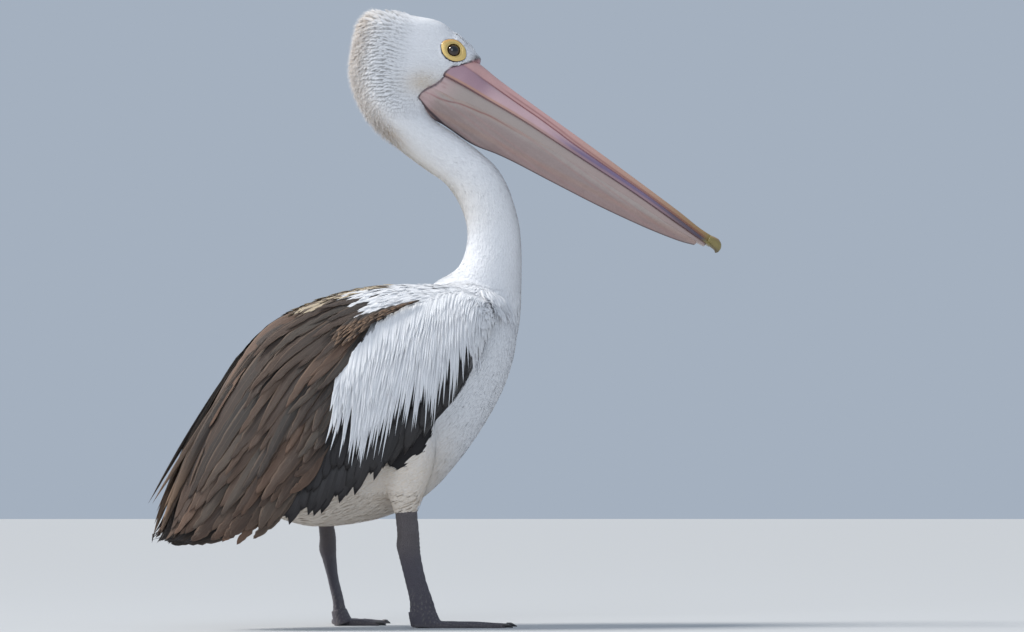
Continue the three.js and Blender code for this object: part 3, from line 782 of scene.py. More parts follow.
def buildSkin():
    # the body's lofts, each inside its solid by the coat's depth, melted together; in front of the
    # feather line it drops under the bill, and each eye's hollow is pressed in
    parts = [loftSolid(neckStations, 120, 48, (0, 6), skinDepth["neck"]),
             loftSolid(trunkStations, 80, 64, (20, 12), skinDepth["trunk"])]
    for side in (-1, 1):
        parts.append(loftSolid(mirroredRows(wingStations, side), 80, 48, (12, 10), skinDepth["wing"]))
    for leg in legs.values():
        parts.append(loftSolid(thighRows(leg), 30, 32, (0, 0), skinDepth["thigh"]))
    skin = merged("skin", parts, skinMesh["voxel"], skinMesh["easing"])
    points = meshPoints(skin.data)
    d, s, z = toNeck(points)
    inside = edgeDistance(d, z)
    under = smooth(0.0, 3.5, inside) * (z > 600)
    t, h = toBill(d, z)
    topAt = readAlong(upperRows, t)[0]
    moved = fromBill(t, s * skinMesh["rootNarrow"], np.minimum(h, topAt - skinMesh["rootDrop"]))
    points = mix(points, moved, under)
    for side in (-1, 1):      # the eye's hollow
        a, across, out = eyeLocal(points, side)
        rim = np.hypot(a / eye["long"], across / eye["high"])
        raised = np.where((out > -8) & (rim < 1.9), np.maximum(out, 6.6 - 10 * (rim - 1)), out)
        points, out = fromEye(a, across, raised, side), raised
        deep = smooth(1.0, 0.9, rim) * (out > -8)
        points = mix(points, fromEye(a, across, np.minimum(out, 3.0), side), deep)
    movePoints(skin.data, points)
    return skin, points


skin, skinPoints = buildSkin()
skinNormals = unit(read(skin.data.vertices, "normal", 3).astype(float))
skinField = buildField(skinPoints, skinMesh["voxel"], skinMesh["lookup"])
skinQuads = read(skin.data.loops, "vertex_index", kind=np.int32).reshape(-1, 4)
print("skin melted:", len(skinPoints), "points")


def wingSamples():
    # points of both wings with their (u, f), to tell which skin is wing
    u, f = (g.ravel() for g in np.meshgrid(np.linspace(0, 1, 120), np.linspace(0, 1, 70), indexing="ij"))
    sets = []
    for side in (-1, 1):
        point = wingPoint(u, f, side) - wingNormal(u, f, side) * skinDepth["wing"]
        sets.append(np.column_stack([point, u, f]))
    return np.vstack(sets)


def bodySamples():
    # points of neck and trunk, whose place on the wing is -1
    u, angle = (g.ravel() for g in roundGrid(160, 40))
    neck = loftPoint(neckStations, u, angle, skinDepth["neck"])[0]
    trunk = loftPoint(trunkStations, u, angle, skinDepth["trunk"])[0]
    return np.vstack([np.column_stack([p, np.full((len(p), 2), -1.0)]) for p in (neck, trunk)])


samples = np.vstack([wingSamples(), bodySamples()])
sampleField = buildField(samples[:, :3], 6.0, 6)


def wingPlace(points):
    # (u, f) of the closest sample, which is (-1, -1) off the wing
    found = nearest(sampleField, points)
    place = samples[found][:, 3:5].copy()
    place[found < 0] = -1
    return place[:, 0], place[:, 1]


skinU, skinF = wingPlace(skinPoints)
skinTint = plumageTint(skinPoints, skinU, skinF)
skinD, skinS, skinZ = toNeck(skinPoints)
nearBill = smooth(1.8, 0.6, np.abs(edgeDistance(skinD, skinZ))) * (skinZ > 690) * (skinZ < 838)
bareRoot = smooth(0.6, 1.6, edgeDistance(skinD, skinZ)) * (skinZ > 690) * (skinZ < 850)
skinTint = layered(skinTint, skinD.shape, (tones["bare"], bareRoot), (tones["dark"], 0.85 * nearBill),
                   (tones["dark"], 0.7 * smooth(1.05, 1.01, eyeRim(skinPoints)) * (skinZ > 800)))
# the skin's tint darkened by skinMesh's shade: painted shade for the gaps between the tufts
paint(skin.data, skinTint * skinMesh["shade"])
skin.data.materials.append(materials["skin"])
finishPiece(skin, "white_feathers", "head", "neck_lower", "neck_middle", "neck_upper", "trunk", "thigh_right",
            "thigh_left", "wing_right", "wing_left", "tail")


# feathers
def solidVanes(path, up, half, columns, camber, thick):
    # N feathers: path and up are (N, K, 3), half is (N, K) or (N, K, 2) for left and right. Each
    # ring is a row of columns at half * w beside the path, dropped by camber * w squared and closed
    # flat or, with thick, by a point below; facing is the shading normal, up and leaning out with w
    along = unit(np.gradient(path, axis=1))
    broad = unit(np.cross(along, up))
    square = np.cross(broad, along)
    half = half[..., None] * [1.0, 1.0] if half.ndim == 2 else half
    w = np.linspace(-1, 1, columns)
    inner = slice(1, -1)
    reach = np.where(w < 0, half[:, inner, :1], half[:, inner, 1:]) * w
    drop = camber * half[:, inner].mean(-1, keepdims=True) * w ** 2
    rings = (path[:, inner, None] + broad[:, inner, None] * reach[..., None]
             - square[:, inner, None] * drop[..., None])
    lift = unit(0.6 * square + 0.4 * up)
    facing = unit(lift[:, inner, None] + broad[:, inner, None] * (0.45 * w)[:, None])
    if thick:
        rings = np.concatenate([rings, (path[:, inner] - square[:, inner] * thick)[:, :, None]], 2)
        facing = np.concatenate([facing, -lift[:, inner, None]], 2)
    n, rows, across = rings.shape[:3]
    facing = np.concatenate([lift[:, :1], facing.reshape(n, -1, 3), lift[:, -1:]], 1)
    points = np.concatenate([path[:, :1], rings.reshape(n, -1, 3), path[:, -1:]], 1)
    j = np.arange(across)
    nxt = (j + 1) % across
    last = 1 + rows * across
    base = 1 + (rows - 1) * across
    quads = 1 + gridFaces(rows, across)
    fans = np.concatenate([np.stack([0 * j, 1 + nxt, 1 + j], -1),
                           np.stack([base + j, base + nxt, last + 0 * j], -1)])
    step = (np.arange(n) * points.shape[1])[:, None, None]
    faces = [(quads + step).reshape(-1, 4), (fans + step).reshape(-1, 3)]
    x = np.tile(np.append((w + 1) / 2, [0.5] if thick else []), rows)
    y = np.repeat(np.arange(1, rows + 1) / (rows + 1), across)
    uv = np.column_stack([np.concatenate([[0.5], x, [0.5]]), np.concatenate([[0], y, [1]])])
    return points, faces, np.broadcast_to(uv, (n, *uv.shape)), facing


def faceUp(mesh, normals):
    # each corner takes its point's given normal, or the face's own where they are nearly opposed
    wanted = normals[read(mesh.loops, "vertex_index", kind=np.int32)]
    own = np.repeat(read(mesh.polygons, "normal", 3), read(mesh.polygons, "loop_total", kind=np.int32), 0)
    mesh.normals_split_custom_set(np.where(dot(own, wanted) < 0.1, own, wanted))


def bakeMap(uv, rootU, rootV, size):
    # a small patch at the root's place on the skin's unwrap: place * (1 - size) + vane's map * size
    root = np.stack([rootU, rootV], -1)[:, None]
    return np.clip(root * (1 - size) + uv * size, 0, 1)


def addFeathers(name, material, batches, slotName):
    # one mesh of all the batches, each (path, up, half, tint per point along, columns, camber, thick,
    # rootU, rootV, patch); a vane's inner tints repeat across its columns
    faces, count, sets = [], 0, [[], [], [], [], []]
    for path, up, half, tint, columns, camber, thick, rootU, rootV, patch in batches:
        points, parts, uv, facing = solidVanes(path, up, half, columns, camber, thick)
        faces += [part + count for part in parts]
        count += points.shape[0] * points.shape[1]
        inner = np.repeat(tint[:, 1:-1], columns + (thick > 0), axis=1)
        tint = np.concatenate([tint[:, :1], inner, tint[:, -1:]], 1)
        for kept, new in zip(sets, (points, tint, uv, bakeMap(uv, rootU, rootV, patch), facing)):
            kept.append(new.reshape(-1, new.shape[-1]))
    points, tints, vaneMap, patches, facings = (np.concatenate(kept) for kept in sets)
    piece = addPiece(name, points, faces, materials[material], tints, {"vane": vaneMap, "OFBake": patches})
    if material in ("down", "plume"):
        faceUp(piece.data, facings)
    finishPiece(piece, slotName)
    print(name, len(piece.data.polygons), "faces")


def bodyAxis():
    # the middle line from the crown to the vent, each point eased twelve times to a mean of three
    neck = splineThrough([np.add(r[0:3], r[3:6]) / 2 for r in neckStations], np.linspace(1, 0.08, 90))
    trunk = splineThrough([np.add(r[0:3], r[3:6]) / 2 for r in trunkStations], np.linspace(0.12, 1, 70))
    line = np.vstack([neck, trunk])
    for _ in range(12):
        line[1:-1] = (line[:-2] + 2 * line[1:-1] + line[2:]) / 4
    return line


axis = bodyAxis()
axisWay = unit(np.gradient(axis, axis=0))
axisRun = np.append(0, np.cumsum(np.linalg.norm(np.diff(axis, axis=0), axis=1)))


def axisPlace(points):
    # index of the middle line's closest point, by least squared distance, in blocks
    flat = points.reshape(-1, 3)
    found = np.empty(len(flat), int)
    for i in range(0, len(flat), 20000):
        block = flat[i:i + 20000]
        found[i:i + 20000] = np.argmin(np.sum((block[:, None] - axis) ** 2, -1), 1)
    return found.reshape(points.shape[:-1])


def unwrapAt(points):
    # the skin unrolled: run along the middle line, and the angle round it
    i = axisPlace(points)
    away = points - axis[i]
    way = axisWay[i]
    side = unit(np.cross(way, np.broadcast_to([0.05, 0.0, 1.0], way.shape)))
    other = np.cross(way, side)
    angle = np.arctan2(np.sum(away * side, -1), np.sum(away * other, -1))
    return axisRun[i] / axisRun[-1], angle / (2 * math.pi) + 0.5


def wobble(points, wave, seed):
    # the mean of seven sines in random directions, about wave long, mostly between -1 and 1
    rng = np.random.default_rng(seed)
    way = unit(rng.normal(size=(7, 3))) * 2 * math.pi / (wave * rng.uniform(0.7, 1.5, (7, 1)))
    return np.sin(points @ way.T + rng.uniform(0, 6.28, 7)).mean(-1) * 1.7


def lieAt(points, normals):
    # which way the coat lies: away from the bill's root over the face, down the nape and neck, back
    # along the trunk
    d, _, z = toNeck(points)
    origin = fromNeck(0.0, 0.0, 0.0)
    way = axisWay[axisPlace(points)]
    head = smooth(735, 790, z)[..., None]
    away = unit(fromNeck(d + 20, 0 * d, z - 815) - origin)
    nape = (smooth(-150, -200, d) * smooth(902, 880, z))[..., None]
    away = unit(away * (1 - 0.8 * nape) + (fromNeck(-0.3, 0.0, -0.95) - origin) * 0.8 * nape)
    way = way * (1 - head) + away * head
    return laidOn(way, normals)


def combed(root, heading, length, count):
    # paths of count points that step along heading, laid back on the skin after each step
    ids = nearest(skinField, root)
    point = root - skinNormals[ids] * dot(root - skinPoints[ids], skinNormals[ids])
    step = (length / (count - 1))[:, None]
    path, ups = [point], [skinNormals[ids]]
    for _ in range(count - 1):
        point = point + heading * step
        ids = nearest(skinField, point)
        normal = skinNormals[ids]
        point = point - normal * dot(point - skinPoints[ids], normal)
        heading = laidOn(heading, normal)
        path.append(point)
        ups.append(normal)
    ups = np.stack(ups, 1)
    for _ in range(2):
        ups[:, 1:-1] = unit(ups[:, :-2] + 2 * ups[:, 1:-1] + ups[:, 2:])
    return np.stack(path, 1), ups


def spreadRoots(rng, mask, count):
    # places on the skin's triangles, drawn evenly over the summed area, with the skin's normal there
    corner = skinQuads[mask[skinQuads].any(1)]
    tri = np.stack([corner[:, [0, 1, 2]], corner[:, [0, 2, 3]]], 1).reshape(-1, 3)
    a, b, c = (skinPoints[tri[:, k]] for k in range(3))
    area = np.cumsum(np.linalg.norm(np.cross(b - a, c - a), axis=1))
    pick = np.searchsorted(area, (np.arange(count) + rng.uniform(0, 1, count)) / count * area[-1])
    pick = np.minimum(pick, len(tri) - 1)
    x, y = rng.uniform(0, 1, (2, count, 1))
    x, y = np.where(x + y > 1, 1 - x, x), np.where(x + y > 1, 1 - y, y)
    roots = a[pick] + (b - a)[pick] * x + (c - a)[pick] * y
    na, nb, nc = (skinNormals[tri[pick, k]] for k in range(3))
    return roots, unit(na + (nb - na) * x + (nc - na) * y)


def clumped(path, size, pull):
    # locks: each path moves by pull * t to the 1.6 toward the mean end of the tufts in its wavy cell
    root = path[:, 0]
    bent = root + np.stack([wobble(root, size * 4, k) for k in (1, 2, 3)], -1) * size * 0.7
    cell = np.floor(bent / size).astype(int)
    key = cell[:, 0] * 4000003 + cell[:, 1] * 2003 + cell[:, 2]
    _, group, count = np.unique(key, return_inverse=True, return_counts=True)
    middle = np.stack([np.bincount(group, path[:, -1, k]) for k in range(3)], -1) / count[:, None]
    t = np.linspace(0, 1, path.shape[1]) ** 1.6
    return path + (middle[group] - path[:, -1])[:, None] * (np.reshape(pull, (-1, 1)) * t)[..., None]


def numbers(rng, n, middle, vary):
    # n draws spread evenly from middle less to middle plus its share vary
    return middle * rng.uniform(1 - vary, 1 + vary, n)


def whole(n, value):
    # the value n times
    return np.full(n, float(value))


def tuftShape(t):
    # widest a third along, closing to the tip
    return np.interp(t, [0, 0.35, 0.75, 1], [0.7, 1, 0.7, 0])


def hairShape(t):
    # slowly thinner, then closing to the tip
    return np.interp(t, [0, 0.3, 1], [1, 0.9, 0])


def tuftCoat(name, rng, roots, normals, size, way=None):
    # one white piece of small overlapping tufts: each rises from low to high with t to the power
    # bend, and is half * shape(t) wide, t running from 0 at its root to 1 at its tip
    n, rows = len(roots), size["rows"]
    heading = lieAt(roots, normals) if way is None else laidOn(way, normals)
    aside = np.cross(normals, heading)
    heading = unit(heading + aside * (rng.normal(0, 1, n) * size["spread"])[:, None])
    path, up = combed(roots, heading, size["length"], rows)
    t = np.linspace(0, 1, rows)
    low = np.reshape(size["low"], (-1, 1))
    height = low + (size["high"][:, None] - low) * t ** size["bend"]
    path = clumped(path + up * height[..., None], size["clump"], size["pull"])
    half = size["half"][:, None] * size.get("shape", tuftShape)(t)
    tint = plumageTint(roots, whole(n, -1), whole(n, -1)) * rng.normal(1, size["vary"], (n, 1))
    # size's shade darkens whole tufts as painted shade
    tint = np.repeat((tint * np.reshape(size.get("shade", 1.0), (-1, 1)))[:, None], rows, 1)
    if "tipPart" in size:
        tint = mix(tint, tones["white"], np.reshape(size["tipPart"], (-1, 1)) * t)
    # darker at the root, lighter at the tip: painted shade where the tufts overlap
    tint = np.clip(tint * np.linspace(0.96, 1.02, rows)[None, :, None], 0, 1)
    batch = (path, up, half, tint, size.get("columns", 3), size["camber"], 0.0, *unwrapAt(roots), 0.003)
    addFeathers(name, "down", [batch], "white_feathers")


wingless = skinU < 0
billGap = edgeDistance(skinD, skinZ)
headTufts = {"count": 29000, "above": 742, "start": 745, "plush": (746, 786), "ringGap": 1.04, "rows": 3,
             "spread": 0.20, "camber": 0.4, "clump": 4.8, "bend": 1.2, "vary": 0.04}


def headCoat(side, name, seed):
    # face short and close; behind it plush in waves, high where a sine of z and behind, bent by two
    # wobbles, is high, the tufts in the troughs darkened as painted shade; longest on the crown's back and
    # the nape
    rng = np.random.default_rng(seed)
    mask = (skinZ > headTufts["above"]) & (skinS * side > -5) & wingless & (billGap < 6)
    roots, normals = spreadRoots(rng, mask, headTufts["count"])
    d, s, z = toNeck(roots)
    line, ringAt = edgeDistance(d, z), eyeRim(roots)
    keep = (line < -0.5) & (ringAt > headTufts["ringGap"]) & (s * side > 0) & (z > headTufts["start"])
    roots, normals, d, z, line, ringAt = (a[keep] for a in (roots, normals, d, z, line, ringAt))
    behind = inFront(d, z)
    plush = smooth(92, 50, behind) * (0.2 + 0.8 * smooth(*headTufts["plush"], z))
    fringe = smooth(24, 3, behind) * smooth(904, 880, z)
    crest = smooth(60, 20, behind) * smooth(870, 895, z)
    close = np.minimum(np.clip(-line / 12, 0, 1), np.clip((ringAt - headTufts["ringGap"]) / 0.6, 0, 1))
    wave = np.sin(z * 1.12 + behind * 0.28 + 2.6 * wobble(roots, 30, 5) + 1.2 * wobble(roots, 11, 6))
    ridge = smooth(-0.7, 0.8, wave)
    n = len(roots)
    size = {"length": numbers(rng, n, 1, 0.25) * (3.4 + 2.4 * close + 2.6 * plush + 3.0 * fringe
                                                  + 3.5 * crest),
            "half": numbers(rng, n, 1, 0.25) * (0.70 + 0.30 * close + 0.04 * plush),
            "low": 0.1 + 0.3 * close * (1 - plush),
            "high": numbers(rng, n, 1, 0.2) * (0.7 + 1.2 * close + plush * (0.1 + 4.2 * ridge) + 3.0 * fringe
                                               + 3.4 * crest),
            "pull": 0.25 + 0.55 * plush - 0.30 * fringe,
            "tipPart": 0.45 * np.maximum(fringe, 0.8 * plush * ridge),
            # shade: painted shade that darkens the plush tufts in the troughs between the waves
            "shade": 1 - 0.42 * plush * (1 - ridge)}
    tuftCoat(name, rng, roots, normals, headTufts | size)


napeHairs = {"count": 10500, "above": 690, "deep": 36, "wide": 34, "long": 13.0, "broad": 0.42, "rise": 10.5,
             "low": -0.3, "rows": 4, "spread": 0.5, "camber": 0.4, "clump": 3.0, "bend": 0.9, "vary": 0.08,
             "pull": 0.25, "tipPart": 0.75, "shape": hairShape}


def napeCoat(name, seed):
    # loose fine hairs that stand off the crown's back and the nape, fewer and lower away from them
    rng = np.random.default_rng(seed)
    mask = (skinZ > napeHairs["above"]) & wingless & (inFront(skinD, skinZ) < napeHairs["deep"])
    mask &= np.abs(skinS) < napeHairs["wide"]
    roots, normals = spreadRoots(rng, mask, napeHairs["count"])
    d, _, z = toNeck(roots)
    weight = smooth(34, 4, inFront(d, z)) * smooth(690, 745, z)
    keep = rng.uniform(0, 1, len(d)) < weight
    roots, normals, weight, z = roots[keep], normals[keep], weight[keep], z[keep]
    n = len(roots)
    top = smooth(850, 890, z)
    size = {"length": numbers(rng, n, napeHairs["long"], 0.35) + 3 * top,
            "half": numbers(rng, n, napeHairs["broad"], 0.3),
            "high": numbers(rng, n, napeHairs["rise"], 0.4) * (0.35 + 0.65 * weight) + 2.0 * top}
    tuftCoat(name, rng, roots, normals, napeHairs | size)


neckTufts = {"overlap": 4, "long": 8.6, "broad": 1.08, "rise": 1.9, "low": 0.6, "rows": 3, "spread": 0.10,
             "camber": 0.15, "clump": 4.0, "bend": 0.8, "vary": 0.03, "pull": 0.15}


def neckCoat(name, low, high, seed, count):
    # velvety short feathers, larger toward the breast, raised by a wobble and along the hindneck
    rng = np.random.default_rng(seed)
    over = neckTufts["overlap"]
    mask = (skinZ > low - over) & (skinZ <= high + over) & wingless & (billGap < 6)
    mask &= (skinZ > 545) | (np.abs(skinS) < 50)
    roots, normals = spreadRoots(rng, mask, count)
    d, _, z = toNeck(roots)
    keep = ((edgeDistance(d, z) < -0.5) | (z < 640)) & (z > low) & (z <= high)
    roots, normals, d, z = roots[keep], normals[keep], d[keep], z[keep]
    back = smooth(16, 2, inFront(d, z)) * smooth(600, 680, z)
    base = smooth(610, 500, z)
    n = len(roots)
    size = {"length": numbers(rng, n, 1, 0.25) * (neckTufts["long"] + 6 * base),
            "half": numbers(rng, n, 1, 0.2) * (neckTufts["broad"] + 0.6 * base)}
    size["high"] = (numbers(rng, n, neckTufts["rise"], 0.12) + 0.3 * wobble(roots, 9, 8)
                    + 2.2 * back + 0.8 * base)
    tuftCoat(name, rng, roots, normals, neckTufts | size)


def lance(t):
    # narrow at the root, widest a third along, drawn out to a point
    return np.interp(t, [0, 0.12, 0.35, 0.7, 0.9, 1], [0.45, 0.85, 1, 0.72, 0.32, 0.02])


def plumeShape(t):
    # like lance with a longer, finer point
    return np.interp(t, [0, 0.1, 0.3, 0.6, 0.8, 1], [0.5, 0.85, 1, 0.62, 0.30, 0.02])


bodyTufts = {"rows": 4, "spread": 0.08, "camber": 0.12, "bend": 0.8, "vary": 0.02, "pull": 0.06}


def bodyCoat(name, mask, seed, count, long, half, lift, clump=7.0):
    # soft fine contour feathers whose tips lie lift above the skin and whose roots half of that
    rng = np.random.default_rng(seed)
    roots, normals = spreadRoots(rng, mask, count)
    size = {"length": numbers(rng, count, long, 0.25), "half": numbers(rng, count, half, 0.25),
            "low": 0.5 * lift, "clump": clump,
            "high": numbers(rng, count, lift, 0.06) + 0.2 * wobble(roots, 20, 9)}
    tuftCoat(name, rng, roots, normals, bodyTufts | size)


bendTufts = {"count": 460, "x": (129, 19), "z": (485, 18), "outside": 40, "long": 33, "broad": 2.3,
             "rise": 10.0, "low": 2.0, "rows": 7, "columns": 5, "spread": 0.12, "camber": 0.2,
             "clump": 10.0, "bend": 0.9, "vary": 0.02, "pull": 0.1, "shape": lance,
             "way": (-0.25, 0.0, -1.0)}


def bendCoat(name, seed):
    # the soft tuft in front of the wing's bend: feathers from a box at the shoulder, all one way
    rng = np.random.default_rng(seed)
    mask = wingless & (np.abs(skinPoints[:, 1]) > bendTufts["outside"])
    for place, (middle, reach) in ((skinPoints[:, 0], bendTufts["x"]), (skinZ, bendTufts["z"])):
        mask &= np.abs(place - middle) < reach
    n = bendTufts["count"]
    roots, normals = spreadRoots(rng, mask, n)
    size = {"length": numbers(rng, n, bendTufts["long"], 0.3),
            "half": numbers(rng, n, bendTufts["broad"], 0.25),
            "high": numbers(rng, n, bendTufts["rise"], 0.2)}
    tuftCoat(name, rng, roots, normals, bendTufts | size, way=np.array(bendTufts["way"]))


headCoat(-1, "coat_head_right", 11)
headCoat(1, "coat_head_left", 12)
napeCoat("coat_nape", 13)
neckCoat("coat_neck_upper", 622, 747, 21, 25000)
neckCoat("coat_neck_lower", 500, 624, 22, 25000)
trunkSkin = wingless & (skinZ < 560) & ~((skinZ > 512) & (np.abs(skinS) < 40))
bodyCoat("coat_breast", trunkSkin & (skinPoints[:, 0] > 20), 31, 13500, 18, 1.75, 2.4)
bodyCoat("coat_belly", trunkSkin & (skinPoints[:, 0] <= 20) & (skinZ > 200), 32, 13500, 18, 1.75, 2.4)
bendCoat("coat_bend", 34)
bodyCoat("coat_thighs", trunkSkin & (skinZ <= 215), 33, 6000, 11, 1.15, 2.2, clump=4.0)


# wing feathers
def broadVane(t):
    # quickly full, long nearly parallel sides, a narrowed round tip
    tip = np.sqrt(np.maximum(1 - (np.maximum(t - 0.72, 0) / 0.28) ** 2, 0))
    return np.interp(t, [0, 0.15, 0.4, 0.8, 1], [0.35, 0.8, 1, 0.9, 0.75]) * tip


def strapVane(t):
    # long and narrow, slowly drawn in over its last third to a blunt point
    return np.interp(t, [0, 0.12, 0.35, 0.62, 0.80, 0.92, 0.98, 1],
                     [0.4, 0.8, 1, 0.95, 0.74, 0.44, 0.2, 0.05])


def notched(rng, shape, n, rows, worn):
    # half widths left and right: the shape, less a random gap of parted barbs that grows to the tip
    t = np.linspace(0, 1, rows)
    gap = rng.uniform(0, 1, (n, rows, 2)) ** (4.0 / max(worn, 0.05)) * smooth(0.35, 0.95, t)[:, None]
    return shape(t)[None, :, None] * (1 - 0.45 * gap)


def wingBatch(rng, side, root, tip, half, lift, tint, rows, columns, camber=0.10, bow=0.0, shape=broadVane,
              patch=0.02, worn=0.0, curl=0.0):
    # feathers from root to tip in the wing's own (u, f), bowed by a half sine; their height goes from
    # lift's first to its second with t to the 1.2, and curl adds t to the 5
    t = np.linspace(0, 1, rows)
    u = root[:, :1] + (tip[:, :1] - root[:, :1]) * t
    f = root[:, 1:] + (tip[:, 1:] - root[:, 1:]) * t + np.asarray(bow).reshape(-1, 1) * np.sin(math.pi * t)
    point, normal = wingPoint(u, f, side), wingNormal(u, f, side)
    height = (lift[0][:, None] + (lift[1] - lift[0])[:, None] * t ** 1.2
              + np.asarray(curl).reshape(-1, 1) * t ** 5)
    path = point + normal * height[..., None]
    wide = half[:, None, None] * notched(rng, shape, len(half), rows, worn)
    v = np.clip(f[:, 0], 0, 1) * 0.45 + (0.5 if side > 0 else 0.0)
    return (path, normal, wide, np.clip(tint, 0.003, 1), columns, camber, 0.5,
            np.clip(u[:, 0] * 0.9, 0, 1), v, patch)


def flat(points):
    # places of two numbers with a 0 added, as splineThrough takes them
    return [(a, b, 0) for a, b in points]


def featherTint(rng, n, rows, bases, tipTone, bleach, vary=0.04):
    # each feather takes one of the base tones, darker at its root as painted shade under the feathers over
    # it, and bleached toward its tip
    t = np.linspace(0, 1, rows)
    base = np.array(bases)[rng.integers(0, len(bases), n)] * rng.uniform(1 - vary, 1 + vary, (n, 1))
    part = np.clip(bleach * rng.uniform(0.3, 1.3, (n, 1)) * smooth(0.4, 1.0, t), 0, 1)
    paintedRootShade = np.linspace(1 - 1.2 * vary, 1 + vary, rows)[:, None]
    return mix(np.repeat(base[:, None], rows, 1), tipTone, part) * paintedRootShade


def between(first, last, r, part):
    # a place between two lines of the wing's (u, f): r along the lines, part from first to last
    a, b = splineThrough(flat(first), r)[:, :2], splineThrough(flat(last), r)[:, :2]
    return a + (b - a) * np.reshape(part, (-1, 1))


# the brown sheet's two ends, in (u, f), and its ranks: start, length, count, half width, bleach
sheetStart = [(0.27, 0.02), (0.30, 0.10), (0.34, 0.17), (0.40, 0.24), (0.45, 0.33), (0.50, 0.46),
              (0.54, 0.60)]
sheetEnd = [(1.11, 0.02), (1.10, 0.25), (1.08, 0.50), (1.05, 0.72), (0.98, 0.92), (0.88, 1.0), (0.78, 1.02)]
sheetRanks = [(0.30, 0.62, 14, 12.0, 0.50), (0.34, 0.56, 14, 11.5, 0.40), (0.20, 0.56, 15, 11.0, 0.30),
              (0.08, 0.50, 16, 10.0, 0.25), (-0.02, 0.44, 16, 9.0, 0.20), (-0.06, 0.32, 16, 7.5, 0.15)]
sheetLook = {"camber": 0.14, "worn": 1.1, "curl": 1.6, "bow": 0.024, "vary": 0.22, "root": -6.5, "tip": 1.5,
             "step": 0.12}
browns = [linear(56, 46, 40), linear(72, 58, 49), linear(94, 72, 58), linear(72, 65, 58), linear(42, 36, 33)]


def brownSheet(rng, side):
    # long tertials and scapulars laid like tiles, each feather a step higher than the one before
    batches = []
    for k, (start, length, n, half, bleach) in enumerate(sheetRanks):
        rows = 30 if k < 4 else 24
        r = np.clip((np.arange(n) + 0.5 * (k % 2) + rng.uniform(0.2, 0.8, n)) / n, 0, 1)
        a = start + rng.uniform(-0.05, 0.05, n)
        b = a + length * rng.uniform(0.85, 1.15, n)
        if k == 0:      # the last rank ends at the wing's tip, the one before just short of it
            a, b = rng.uniform(0.34, 0.46, n), rng.uniform(0.93, 1.02, n)
        if k == 1:
            b = np.minimum(b, 0.97)
        root, tip = between(sheetStart, sheetEnd, r, a), between(sheetStart, sheetEnd, r, b)
        root = root + np.column_stack([0 * r, rng.normal(0, 0.02, n)])
        tint = featherTint(rng, n, rows, browns, tones["rust"], bleach, sheetLook["vary"])
        step = sheetLook["step"] * np.arange(n)
        lift = (sheetLook["root"] + step, rng.normal(sheetLook["tip"], 1.2, n) + step)
        batches.append(wingBatch(rng, side, root, tip, numbers(rng, n, half, 0.2), lift, tint, rows, 9,
                                 camber=sheetLook["camber"], bow=rng.normal(0.0, sheetLook["bow"], n),
                                 worn=sheetLook["worn"], curl=rng.normal(0, sheetLook["curl"], n),
                                 shape=strapVane))
    return batches


looseQuills = {"roots": [(0.62, 0.04), (0.66, 0.03), (0.74, 0.05), (0.80, 0.03)],
               "ends": [(-386, 8, 176), (-372, 11, 165), (-374, 14, 148), (-376, 13, 132)],
               "half": [5.0, 7.0, 8.0, 9.0], "sag": -5.6}


def looseTips(rng, side):
    # worn quills that hang clear of the back's edge: straight but for half a sine of sag
    rows, n = 20, 4
    root = np.array(looseQuills["roots"])
    t = np.linspace(0, 1, rows)
    start = wingPoint(root[:, 0], root[:, 1], side)
    end = np.array(looseQuills["ends"], float) * [1, side, 1]
    path = start[:, None] + (end - start)[:, None] * t[:, None]
    path[:, :, 0] += (looseQuills["sag"] * np.sin(math.pi * t))[None]
    up = np.broadcast_to(unit(np.array([-0.35, side * 0.9, 0.1])), path.shape) + 0.0
    tint = featherTint(rng, n, rows, browns, tones["tan"], 0.6)
    half = np.array(looseQuills["half"])[:, None, None] * notched(rng, lance, n, rows, 0.8)
    return (path, up, half, tint, 7, 0.15, 0.5, root[:, 0] * 0.9, root[:, 1] + (0.5 if side > 0 else 0), 0.02)


def darkStrip(rng, side):
    # short dark scapulars with tan edges; the strip and its feathers widen with r, down the strip
    n, rows = 150, 9
    r = rng.uniform(0, 1, n)
    root = np.column_stack([0.245 + 0.20 * r, 0.222 + 0.004 * r + 0.07 * r * rng.uniform(-0.4, 1, n)])
    tip = root + np.column_stack([numbers(rng, n, 0.042, 0.3), 0.012 + 0.03 * r])
    tint = featherTint(rng, n, rows, [browns[4], browns[0], tones["black"] * 1.4], tones["tan"], 0.9)
    order = rng.permutation(n) / n
    return wingBatch(rng, side, root, tip, numbers(rng, n, 2.6, 0.3) * (0.6 + 0.5 * r),
                     (whole(n, 1.0) + order, numbers(rng, n, 4.2, 0.2) + order), tint, rows, 5, shape=lance,
                     patch=0.008)


def backStrip(rng, side):
    # cream feathers along the back's edge, about a third of them brown from the middle on
    n, rows = 90, 9
    root = np.column_stack([rng.uniform(0.26, 0.50, n), rng.uniform(-0.05, 0.035, n)])
    tip = root + np.column_stack([numbers(rng, n, 0.05, 0.3), rng.normal(0.0, 0.02, n)])
    dark = (rng.uniform(0, 1, (n, 1, 1)) < 0.35) * smooth(0.2, 0.5, np.linspace(0, 1, rows))[None, :, None]
    tint = mix(np.broadcast_to(tones["cream"], (n, rows, 3)), tones["brown"], 0.9 * dark[..., 0])
    return wingBatch(rng, side, root, tip, numbers(rng, n, 3.4, 0.3),
                     (whole(n, -3.0), numbers(rng, n, 1.0, 0.25)), tint, rows, 5, shape=lance, patch=0.008)


